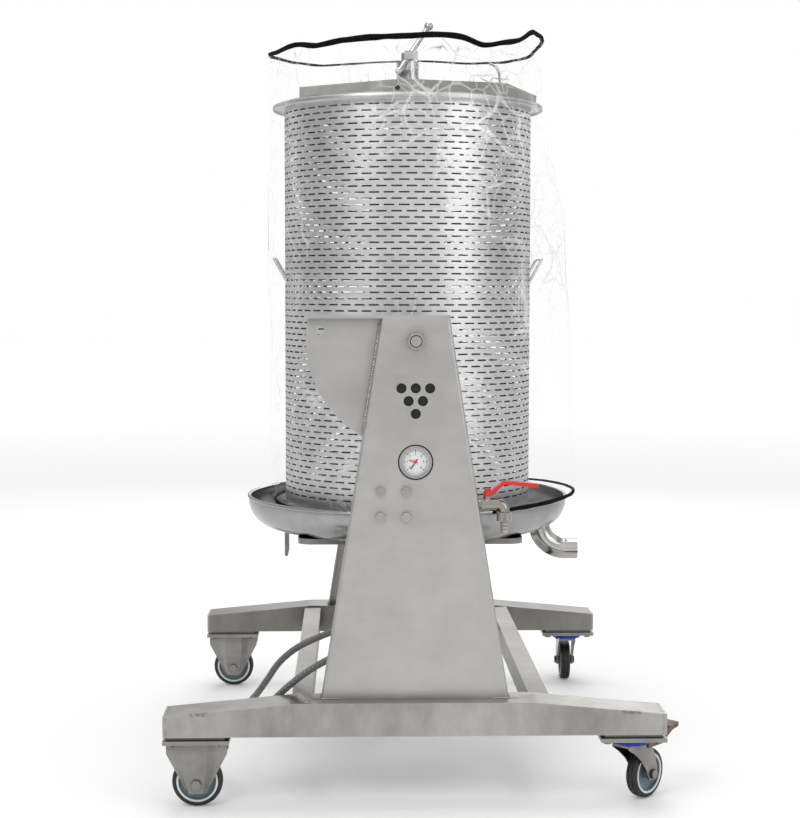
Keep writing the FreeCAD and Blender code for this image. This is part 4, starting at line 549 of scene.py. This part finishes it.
FINISH = {
    "sheet": steel("satin_sheet", WARM_DARK, WARM_LIGHT, 0.42, (0, 1.571, 0), 520.0, 0.16),
    "beam": steel(
        "satin_beam", BEAM_DARK, BEAM_LIGHT, 0.36, (0, 0, 0),
        420.0, 0.22, 0.7, dark_marks=WELD_TINT_AND_GAP_SHADE
    ),
    "cage": steel(
        "cage_sheet", CAGE_DARK, CAGE_LIGHT, 0.36, (0, 1.571, 0),
        700.0, 0.12, 0.35, inside=CAGE_SHADED_INSIDE
    ),
    # Painted shade: a darker copy of the beam steel for the rear beam, the braces and the base pan, which lie
    # in shade.
    "beam_in_painted_shade": steel(
        "shaded_beam", (0.20, 0.193, 0.18), (0.36, 0.35, 0.335),
        0.4, (0, 0, 0), 420.0, 0.22, 0.8
    ),
    "bowl": steel("spun_bowl", (0.26, 0.26, 0.26), (0.47, 0.47, 0.47), 0.2, (0, 0, 0), 650.0, 0.2),
    "polished": steel(
        "polished_steel", (0.40, 0.395, 0.385), (0.66, 0.65, 0.64),
        0.11, (0, 0, 0), 900.0, 0.06, 0.4
    ),
    "nickel": steel(
        "nickel_brass", (0.28, 0.268, 0.24), (0.52, 0.50, 0.455),
        0.2, (0, 0, 0), 500.0, 0.15, 0.6
    ),
    "zinc": steel(
        "zinc_steel", (0.17, 0.165, 0.155), (0.42, 0.41, 0.39),
        0.26, (0, 1.571, 0), 380.0, 0.3, 1.0
    ),
    "weld": steel("weld_bead", (0.22, 0.21, 0.20), (0.52, 0.51, 0.49), 0.4, (0, 0, 0), 120.0, 0.9, 0.5),
    "red": plastic("red_lever", (0.56, 0.012, 0.012), (0.74, 0.03, 0.026), 0.32, 0.35),
    "marker": plastic("marker_red", (0.62, 0.02, 0.02), (0.78, 0.03, 0.03), 0.4),
    "black": plastic("gauge_black", (0.008, 0.008, 0.009), (0.02, 0.02, 0.022), 0.45),
    "dial": plastic("dial_white", (0.80, 0.81, 0.82), (0.88, 0.88, 0.88), 0.5),
    "print": plastic("dial_print", (0.012, 0.012, 0.014), (0.03, 0.03, 0.034), 0.6),
    "blue": plastic("blue_ring", (0.004, 0.018, 0.33), (0.008, 0.03, 0.46), 0.4),
    "brown": plastic("brown_pedal", (0.10, 0.07, 0.055), (0.17, 0.12, 0.095), 0.5),
    "hub": plastic("wheel_hub", (0.10, 0.15, 0.17), (0.19, 0.25, 0.27), 0.42),
    "pale": plastic("wheel_band", (0.62, 0.66, 0.68), (0.78, 0.81, 0.82), 0.45),
    "tyre": plastic("black_tyre", (0.010, 0.010, 0.011), (0.028, 0.028, 0.029), 0.5),
    "bladder": plastic("bladder_rubber", (0.02, 0.02, 0.02), (0.05, 0.05, 0.05), 0.6),
    "dark": plastic("dark_inside", (0.003, 0.003, 0.003), (0.012, 0.012, 0.012), 0.6),
    "film": film_material(),
    "hem": hem_material(),
    "braid": braid_material(),
    "glass": glass_material(),
}

NODE_FINISH = {
    "sheet": "front_tower rear_tower tower_caps index_plate lid_disc cradle base_disc",
    "beam": "front_beam beam_end_plates lid_bar",
    "beam_in_painted_shade": "rear_beam left_brace right_brace base_pan",
    "bowl": "juice_bowl",
    "polished": "pivot_nuts outlet_spout trunnions pivot_bushes clamp_nut clamp_bar clamp_washer lid_grip "
                "gauge_bezel rotary_union manifold_bolts centre_column water_inlet index_pin",
    "nickel": "drain_tap hose_tail manifold",
    "zinc": "caster_plates fixed_forks front_right_fork rear_right_fork bowl_bail",
    "red": "tap_lever",
    "black": "gauge_case tap_ball",
    "dial": "gauge_dial",
    "print": "gauge_pointer",
    "marker": "gauge_marker",
    "glass": "gauge_lens",
    "blue": "swivel_rings",
    "brown": "front_right_pedal rear_right_pedal",
    "hub": "front_left_wheel front_right_wheel rear_left_wheel rear_right_wheel",
    "tyre": "front_left_tyre front_right_tyre rear_left_tyre rear_right_tyre",
    "bladder": "bladder",
    "film": "splash_cover",
    "hem": "cover_hems",
    "braid": "water_hose",
    "cage": "cage_shell",
}


def paint(piece, finish):
    """Gives a piece or CAD node one finish."""
    piece.data.materials.clear()
    piece.data.materials.append(FINISH[finish])
    return piece


for finish, names in NODE_FINISH.items():
    for name in names.split():
        paint(NODES[name], finish)


def add(piece, body, finish, slot, *stands_for):
    """Finishes a new piece, puts it on its body and hides the CAD nodes it stands for."""
    paint(piece, finish)
    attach(piece, body)
    if stands_for:
        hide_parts(*stands_for)
    return piece


# The hose on its body, in place of the CAD hose

add(hose, "frame", "braid", "braided_hose", "water_hose")


# Cage: a rolled sheet with rows of short slots, each row half a pitch round from the last

CAGE_RADIUS, CAGE_WALL = 274.0, 2.0
SLOT_COLUMNS, SLOT_ROWS = 54, 65
SLOT_PITCH, SLOT_TOP = 13.0, 1402.0
SLOT_HALF, SLOT_FLAT, SLOT_RISE = 11.9, 10.4, 1.75
CAGE_LOW, FOOT_BAND_TOP, CAGE_STEPS = 505, 520, 162
RIM_REACH, RIM_TOP, RIM_LIP_FOOT = 300, 1421, 1412
HANDLE_HALF, HANDLE_REACH, HANDLE_LOW, HANDLE_HIGH = 60, 296, 1031, 1086
HANDLE_BEND, HANDLE_ROD = 14, 0.0035


def slotted_wall():
    """The slotted part of the cage between its plain bands, both skins and every slot's edge."""
    points, faces = [], []
    pitch = 2 * math.pi / SLOT_COLUMNS
    half, flat = SLOT_HALF / CAGE_RADIUS, SLOT_FLAT / CAGE_RADIUS

    def spot(radius, angle, z):
        """Adds a point and gives back its number."""
        points.append(at(radius * math.cos(angle), radius * math.sin(angle), z))
        return len(points) - 1

    skins = (CAGE_RADIUS, CAGE_RADIUS - CAGE_WALL)
    bottom = SLOT_TOP - SLOT_ROWS * SLOT_PITCH + SLOT_PITCH / 2
    rings = []
    for row in range(SLOT_ROWS + 1):
        z = bottom + row * SLOT_PITCH
        start = row % 2 * pitch / 2
        ring = []
        for radius in skins:
            one = []
            for column in range(SLOT_COLUMNS):
                base = column * pitch + start
                marks = (base - half, base + half - pitch / 2, base + pitch / 2 - half, base + half)
                one.append([spot(radius, mark, z) for mark in marks])
            ring.append(one)
        rings.append(ring)

    def crossing(row, skin, column, row_start):
        """The ring's corners that lie under or over a slot: tip, two of the next row's, tip."""
        marks = rings[row][skin]
        if row % 2 == row_start:
            return marks[column]
        left = marks[(column - (1 if row_start == 0 else 0)) % SLOT_COLUMNS]
        right = marks[(column + (0 if row_start == 0 else 1)) % SLOT_COLUMNS]
        return [left[2], left[3], right[0], right[1]]

    for row in range(SLOT_ROWS):
        middle = bottom + (row + 0.5) * SLOT_PITCH
        start = row % 2 * pitch / 2
        skin_slots = []
        for radius in skins:
            slots = []
            for column in range(SLOT_COLUMNS):
                base = column * pitch + start
                shape = [(-half, 0), (-flat, -SLOT_RISE), (flat, -SLOT_RISE)]
                shape += [(half, 0), (flat, SLOT_RISE), (-flat, SLOT_RISE)]
                slots.append([spot(radius, base + turn, middle + rise) for turn, rise in shape])
            skin_slots.append(slots)
        for skin in (0, 1):
            for column in range(SLOT_COLUMNS):
                slot = skin_slots[skin][column]
                after = skin_slots[skin][(column + 1) % SLOT_COLUMNS]
                low = crossing(row, skin, column, row % 2)
                high = crossing(row + 1, skin, column, row % 2)
                next_low = crossing(row, skin, (column + 1) % SLOT_COLUMNS, row % 2)
                next_high = crossing(row + 1, skin, (column + 1) % SLOT_COLUMNS, row % 2)
                faces.append((*low, slot[3], slot[2], slot[1], slot[0]))
                faces.append((slot[0], slot[5], slot[4], slot[3], *reversed(high)))
                faces.append((low[3], next_low[0], after[0], slot[3]))
                faces.append((slot[3], after[0], next_high[0], high[3]))
        for outer, inner in zip(*skin_slots):
            for index in range(6):
                other = (index + 1) % 6
                faces.append((outer[index], outer[other], inner[other], inner[index]))
    for row in (0, SLOT_ROWS):
        outer, inner = rings[row]
        around_out = [corner for marks in outer for corner in marks]
        around_in = [corner for marks in inner for corner in marks]
        for index in range(len(around_out)):
            other = (index + 1) % len(around_out)
            faces.append((around_out[index], around_out[other], around_in[other], around_in[index]))
    wall = from_lists("cage_slots", points, faces, sharp=math.radians(30))
    return wall, bottom, bottom + SLOT_ROWS * SLOT_PITCH


def cage():
    """The slotted wall with its foot band, rolled rim and two bent handles."""
    wall, low, high = slotted_wall()
    outer, inner = CAGE_RADIUS, CAGE_RADIUS - CAGE_WALL
    foot = [(inner, CAGE_LOW), (outer + 1.5, CAGE_LOW), (outer + 1.5, FOOT_BAND_TOP - 1)]
    foot += [(outer, FOOT_BAND_TOP), (outer, low), (inner, low)]
    lower = lathe("cage_foot", foot, at(0, 0, 0), steps=CAGE_STEPS)
    reach, top, lip = RIM_REACH, RIM_TOP, RIM_LIP_FOOT
    head = [(inner, high), (outer, high), (outer, top - 5), (outer + 1.2, top - 3), (outer + 3, top - 2.5)]
    head += [(reach - 4, top - 2.5), (reach - 2.5, top - 3.5), (reach - 2.4, lip + 1), (reach - 1.4, lip)]
    head += [(reach - 0.4, lip + 1), (reach, top - 3), (reach - 0.8, top - 0.6), (reach - 2.5, top)]
    head += [(inner + 1, top), (inner, top - 1)]
    upper = lathe("cage_rim", head, at(0, 0, 0), steps=CAGE_STEPS)
    handles = []
    for side in (-1, 1):
        wall_x = side * math.sqrt(outer**2 - HANDLE_HALF**2) - side * 1.5
        far_x = side * HANDLE_REACH
        loop = []
        corners = [(wall_x, -HANDLE_HALF, HANDLE_LOW), (far_x, -HANDLE_HALF, HANDLE_HIGH)]
        corners += [(far_x, HANDLE_HALF, HANDLE_HIGH), (wall_x, HANDLE_HALF, HANDLE_LOW)]
        loop.append(at(*corners[0]))
        for index in (1, 2):
            before, corner, after = (Vector(corners[index + step]) for step in (-1, 0, 1))
            into = (before - corner).normalized() * HANDLE_BEND
            out = (after - corner).normalized() * HANDLE_BEND
            for share in (0, 0.25, 0.5, 0.75, 1):
                bend = corner + into * (1 - share) ** 2 + out * share**2
                loop.append(at(*bend))
        loop.append(at(*corners[3]))
        handles.append(sweep(f"handle_{side}", loop, HANDLE_ROD, 10))
    return join("cage", [wall, lower, upper, *handles])


add(cage(), "basket", "cage", "satin_steel", "cage_shell")


# Splash cover: one clear sleeve, crumpled, with a wavy black hem at each end

COVER_FOOT, COVER_TOP = 566.3, 1548.0
COVER_STATIONS = [(0.0, 34, 343), (0.3, 30, 340), (0.6, 20, 334), (0.87, -2, 307), (1.0, -4, 304)]

# Rise of each hem over the sleeve's edge in millimetres, at even steps round from the spout's side
TOP_HEM_RISE = [
    16, 12, 2, 1, 1, 4, 7, 13, 17, 17, 14, 9, 3, -3, -4, -6, -7, -9,
    -11, -17, -20, -19, -17, -24, -19, -16, -14, -13, -10, -12, -25, -16, -5, 18, 19, 21,
]
FOOT_HEM_RISE = [
    2, 1, 0, -3, -6, -9, -12, -14, -15, -16, -16, -17,
    -18, -19, -20, -20, -20, -19, -17, -12, -7, -3, 1, 2,
]


def cover_ring(share):
    """Sideways shift and radius of the sleeve at a share of its height."""
    for low, high in zip(COVER_STATIONS, COVER_STATIONS[1:]):
        if share <= high[0]:
            part = smooth_step((share - low[0]) / (high[0] - low[0]))
            return low[1] + (high[1] - low[1]) * part, low[2] + (high[2] - low[2]) * part
    return COVER_STATIONS[-1][1:]


def crumple(angle, z, seed):
    """Ridged noise round the sleeve, from -1 to 1: long soft folds with sharp creases."""
    spot = Vector((math.cos(angle) * 1.6, math.sin(angle) * 1.6, z * 0.0012 + seed))
    soft = noise.noise(spot * 1.3)
    crease = 0.0
    size, weight = 2.6, 0.55
    for _ in range(4):
        crease += weight * (1 - 2 * abs(noise.noise(spot * size + Vector((seed, 0, 0)))) * 1.6)
        size, weight = size * 1.9, weight * 0.55
    return 0.55 * soft + 0.45 * (crease - 0.5)


def cover_point(angle, share, lift=0.0):
    """A point of the sleeve's skin in drawing millimetres."""
    shift, radius = cover_ring(share)
    turn = angle / (2 * math.pi)
    z = COVER_FOOT + share * (COVER_TOP - COVER_FOOT)
    depth = 3 + 5 * math.sin(math.pi * min(share, 1.0)) + 5 * smooth_step((share - 0.8) / 0.15)
    radius += depth * crumple(angle, z, 3.7) - 2
    top = smooth_step((share - 0.86) / 0.14)
    foot = 1 - smooth_step(share / 0.1)
    z += top * between(TOP_HEM_RISE, turn) + foot * between(FOOT_HEM_RISE, turn)
    drawn_in = foot * (1 - smooth_step((math.cos(angle) + 0.25) / 0.7)) * 9
    radius -= drawn_in
    return shift + (radius + lift) * math.cos(angle), (radius + lift) * math.sin(angle), z


def cover():
    """The sleeve as a thin closed skin."""
    around, tall = 420, 230
    points, faces = [], []
    for layer in (0.0, -0.25):
        for row in range(tall + 1):
            for column in range(around):
                angle = 2 * math.pi * column / around
                points.append(at(*cover_point(angle, row / tall, layer)))
    per_layer = (tall + 1) * around
    for layer in (0, 1):
        base = layer * per_layer
        for row in range(tall):
            for column in range(around):
                other = (column + 1) % around
                here, over = base + row * around, base + (row + 1) * around
                faces.append((here + column, here + other, over + other, over + column))
    for row in (0, tall):
        for column in range(around):
            other = (column + 1) % around
            out, inside = row * around, per_layer + row * around
            faces.append((out + column, out + other, inside + other, inside + column))
    return from_lists("cover_film", points, faces, sharp=math.radians(80))


def hem(name, share, thick):
    """A soft black tape bound over the sleeve's edge."""
    path, radii = [], []
    for step in range(180):
        angle = 2 * math.pi * step / 180
        x, y, z = cover_point(angle, share, 0.0)
        path.append(at(x, y, z))
        lumps = 1 + 0.22 * noise.noise(Vector((math.cos(angle), math.sin(angle), share)) * 9)
        radii.append(thick * lumps * (0.68 - 0.32 * math.sin(angle)))
    return sweep(name, path, radii, 8, closed=True)


film = add(cover(), "basket", "film", "clear_film", "splash_cover")
hems = join("cover_edges", [hem("top_edge", 1.0, 0.0062), hem("foot_edge", 0.0, 0.0052)])
add(hems, "basket", "hem", "hem_fabric", "cover_hems")


# Small pieces: weld beads, dark cups behind the vents as painted shade, gauge print, dark rings in the pivot
# nuts, wheel bands and tyres

TOWER_FACE, PANEL, FLANGE = 504.5, 3.0, 30.0
PIVOT_HEIGHT, SEAT_GAP, NUT_HEIGHT = 918, 0.3, 18
TOWER_TOP, TOWER_FOOT, HEAD_HALF, FOOT_HALF = 962.0, 212.0, 67.0, 186.0
GAUGE_PLACE, GAUGE_FACE = (0.0, 681.0), -TOWER_FACE + 3.0


def bead(name, start, end, radius, pitch=3.2):
    """A weld run: overlapping ripples from one point to another."""
    start, end = Vector(start), Vector(end)
    count = max(int((end - start).length / pitch), 3)
    path, radii = [], []
    for step in range(count * 3 + 1):
        share = step / (count * 3)
        across = noise.noise(Vector((step * 0.31, 1, radius)))
        along = noise.noise(Vector((step * 0.29, 7, 2)))
        wander = Vector((across, along, 0))
        path.append(at(*(start.lerp(end, share) + wander * 0.5)))
        ripple = 0.82 + 0.3 * abs(math.sin(math.pi * share * count))
        ripple += 0.2 * noise.noise(Vector((step * 0.2, 3, 5)))
        radii.append(radius / 1000 * ripple)
    return sweep(name, path, radii, 8)


def flange_edge(side, z, y):
    """A point on the tower's sloping side at a height."""
    half = HEAD_HALF + (TOWER_TOP - z) / (TOWER_TOP - TOWER_FOOT) * (FOOT_HALF - HEAD_HALF)
    return side * half, y, z


def weld_beads():
    """Runs along the index plate and round the towers' feet."""
    runs = [bead("plate_run", flange_edge(-1, 952, -476.5), flange_edge(-1, 742, -476.5), 3.4, 5.0)]
    for row in (-1, 1):
        for side in (-1, 1):
            corner = (side * FOOT_HALF, row * TOWER_FACE, TOWER_FOOT + 0.5)
            inner = (side * FOOT_HALF, row * (TOWER_FACE - FLANGE), TOWER_FOOT + 0.5)
            tag = f"{row + 1}{side + 1}"
            runs.append(bead(f"foot_run_{tag}", corner, inner, 2.0))
            turn = (side * (FOOT_HALF - 34), row * TOWER_FACE, TOWER_FOOT + 0.5)
            runs.append(bead(f"face_run_{tag}", turn, corner, 1.8))
    return join("weld_runs", runs)


add(weld_beads(), "frame", "weld", "satin_steel")


def vent_liner():
    """Near-black cups close behind the vents, painted shade for the dark inside of the tower seen through
    them, and a dark gasket round the gauge.
    """
    back = -TOWER_FACE + PANEL + 0.3
    pieces = []
    spots = [(-28, 826), (0, 826), (28, 826), (-14, 801), (14, 801), (0, 776)]
    for number, (x, z) in enumerate(spots):
        cup = [(0.01, back + 1), (11.6, back + 1), (11.6, back)]
        cup += [(12.4, back), (12.4, back + 2), (0.01, back + 2)]
        pieces.append(lathe(f"cup_{number}", cup, at(x, 0, z), "y", 32))
    ring = [(30.3, back), (38, back), (38, back + 1.5), (30.3, back + 1.5)]
    pieces.append(lathe("gasket", ring, at(GAUGE_PLACE[0], 0, GAUGE_PLACE[1]), "y", 64))
    return join("vent_shade_and_gasket", pieces)


add(vent_liner(), "frame", "dark", "gauge_black")


DIAL_DEPTH = 5.9


def on_dial(angle, radius):
    """A point on the dial: angle from straight up, clockwise as seen from the front."""
    x, z = radius * math.sin(angle), radius * math.cos(angle)
    return GAUGE_PLACE[0] + x, GAUGE_FACE + DIAL_DEPTH, GAUGE_PLACE[1] + z


def dial_print():
    """Scale ticks from seven to five o'clock and the scale's figures."""
    pieces = []
    for step in range(31):
        angle = math.radians(-135 + 9 * step)
        inner = 19.6 if step % 5 == 0 else 21.6
        width = 0.62 if step % 5 == 0 else 0.34
        path = [at(*on_dial(angle, inner)), at(*on_dial(angle, 24.2))]
        pieces.append(sweep(f"tick_{step}", path, width / 1000, 6))
    for step in range(7):
        figure = bpy.data.curves.new(f"figure_{step}", "FONT")
        figure.body, figure.size, figure.extrude = str(step), 0.0072, 0.00008
        figure.align_x, figure.align_y = "CENTER", "CENTER"
        holder = bpy.data.objects.new(f"figure_{step}", figure)
        mesh = bpy.data.meshes.new_from_object(holder)
        bpy.data.objects.remove(holder)
        turn = Matrix.Rotation(math.pi / 2, 4, "X")
        mesh.transform(Matrix.Translation(at(*on_dial(math.radians(-135 + 45 * step), 15.6))) @ turn)
        pieces.append(new_piece(f"figure_{step}", mesh))
    return join("dial_print", pieces)


add(dial_print(), "frame", "print", "gauge_black")


def nut_inserts():
    """Near-black rings in the crowns of the pivot nuts."""
    rings = []
    for side in (-1, 1):
        face = side * (TOWER_FACE + SEAT_GAP + NUT_HEIGHT)
        ring = [(10.15, face - side * 0.4), (12.4, face - side * 0.4), (12.2, face + side * 0.35)]
        ring += [(10.6, face + side * 0.35)]
        rings.append(lathe(f"crown_ring_{side}", ring, at(0, 0, PIVOT_HEIGHT), "y", 48))
    return join("nut_inserts", rings)


add(nut_inserts(), "basket", "dark", "gauge_black")

WHEELS = {
    "front_left": (-430, -500, 0), "rear_left": (-430, 500, 0), "front_right": (430, -500, 45),
    "rear_right": (430, 500, 88),
}
TRAIL, WHEEL_RADIUS = 48.0, 50


def wheel_dress(corner, x, y, yaw):
    """A pale band on each face of the wheel and a rounded tyre with two grooves."""
    turn = math.radians(yaw)
    reach = TRAIL if x > 0 else 0.0
    place = at(x + reach * math.cos(turn), y + reach * math.sin(turn), WHEEL_RADIUS)
    move = Matrix.Translation(place) @ Matrix.Rotation(turn, 4, "Z")
    bands = []
    for side in (-1, 1):
        low, high = side * 10.6, side * 12.3
        bands.append(lathe(f"{corner}_band_{side}", [(36.6, low), (41.3, low), (40.8, high), (37.2, high)],
                           Vector(), "y", 64))
    band = join(f"{corner}_bands", bands)
    band.data.transform(move)
    add(band, f"{corner}_wheel", "pale", "hub_plastic")
    half = [(41.2, 11.9), (45.8, 11.9), (48.4, 10.6), (49.6, 8.0), (49.95, 5.4)]
    half += [(48.5, 5.0), (48.5, 3.8), (50, 3.4)]
    profile = half + [(radius, -y) for radius, y in reversed(half)]
    tyre = lathe(f"{corner}_tread", profile, Vector(), "y", 96)
    tyre.data.transform(move)
    add(tyre, f"{corner}_wheel", "tyre", "black_rubber", f"{corner}_tyre")


for corner, spot in WHEELS.items():
    wheel_dress(corner, *spot)


def hose_sleeves():
    """Crimped sleeves over the hose's two ends."""
    sleeves = []
    for name, points in (("low", HOSE_ROUTE[:2]), ("high", HOSE_ROUTE[-1:-3:-1])):
        start, after = (Vector(point) for point in points)
        along = (after - start).normalized()
        path = [at(*(start + along * reach)) for reach in (0.5, 2, 6, 7, 11, 12, 16, 17, 22, 23)]
        radii = [value / 1000 for value in (8.0, 9.2, 9.2, 8.6, 8.6, 9.2, 9.2, 8.6, 8.6, 7.3)]
        sleeves.append(sweep(f"sleeve_{name}", path, radii, 20))
    return join("hose_sleeves", sleeves)


add(hose_sleeves(), "frame", "polished", "polished_steel")


# Stage: pale floor, soft lamps and a plain white surround

def stage_floor():
    """A wide pale floor that keeps the object's shadow."""
    mesh = bpy.data.meshes.new("floor")
    mesh.from_pydata([(-30, -30, 0), (30, -30, 0), (30, 30, 0), (-30, 30, 0)], [], [(0, 1, 2, 3)])
    floor = bpy.data.objects.new("floor", mesh)
    bpy.context.scene.collection.objects.link(floor)
    floor.location.z = -0.0005
    material, tree, shader, coords = begin("floor")
    shader.inputs["Base Color"].default_value = (0.9, 0.9, 0.9, 1)
    shader.inputs["Roughness"].default_value = 0.9
    path = tree.add("ShaderNodeLightPath")
    seen = tree.math("MAXIMUM", path.outputs["Is Camera Ray"], path.outputs["Is Transmission Ray"])
    shader.inputs["Emission Color"].default_value = (1, 1, 1, 1)
    reach = tree.add("ShaderNodeVectorMath", {0: coords}, operation="LENGTH").outputs["Value"]
    far = tree.add("ShaderNodeMapRange", {"Value": reach, "From Min": 1.0, "From Max": 9.0})
    far.inputs["To Min"].default_value, far.inputs["To Max"].default_value = 0.12, 0.42
    glow = tree.math("MULTIPLY", seen, far.outputs[0])
    tree.tree.links.new(glow, shader.inputs["Emission Strength"])
    floor.data.materials.append(material)


stage_floor()


def world():
    """White where it is seen, and for reflections a soft room with a few darker walls."""
    surround = bpy.data.worlds.new("surround")
    surround.use_nodes = True
    bpy.context.scene.world = surround
    tree = Tree(surround.node_tree)
    back = surround.node_tree.nodes["Background"]
    coords = tree.add("ShaderNodeTexCoord").outputs["Generated"]
    parts = tree.add("ShaderNodeSeparateXYZ", {0: coords})
    side = tree.math("ADD", tree.math("MULTIPLY", parts.outputs[0], 0.5), 0.5)
    walls = tree.ramp(side, [
        (0.0, 0.30), (0.16, 0.85), (0.32, 0.36), (0.46, 0.82),
        (0.6, 0.95), (0.74, 0.40), (0.86, 0.95), (1.0, 0.40),
    ])
    height = tree.ramp(tree.math("ADD", tree.math("MULTIPLY", parts.outputs[2], 0.5), 0.5),
                       [(0.3, 0.8), (0.5, 0.86), (0.62, 1.0), (1.0, 0.9)])
    room = tree.mix(1.0, walls, height, "MULTIPLY")
    path = tree.add("ShaderNodeLightPath")
    seen = tree.math("MAXIMUM", path.outputs["Is Camera Ray"], path.outputs["Is Transmission Ray"])
    colour = tree.mix(seen, room, (1.0, 1.0, 1.0))
    tree.tree.links.new(colour, back.inputs["Color"])
    back.inputs["Strength"].default_value = 1.0


world()


def lamp(name, place, aim, size, power):
    """A soft square lamp."""
    data = bpy.data.lights.new(name, "AREA")
    data.energy, data.size = power, size
    light = bpy.data.objects.new(name, data)
    bpy.context.scene.collection.objects.link(light)
    light.location = place
    light.rotation_euler = (Vector(aim) - Vector(place)).to_track_quat("-Z", "Y").to_euler()


lamp("key", (-2.2, -3.4, 3.6), (0, 0, 0.8), 2.2, 52)
lamp("fill", (3.4, -3.2, 2.6), (0, 0, 0.7), 3.2, 34)
lamp("top", (0, 0.4, 4.2), (0, 0, 0.5), 2.6, 42)
lamp("back", (0.4, 3.6, 2.6), (0, 0, 0.9), 2.4, 30)
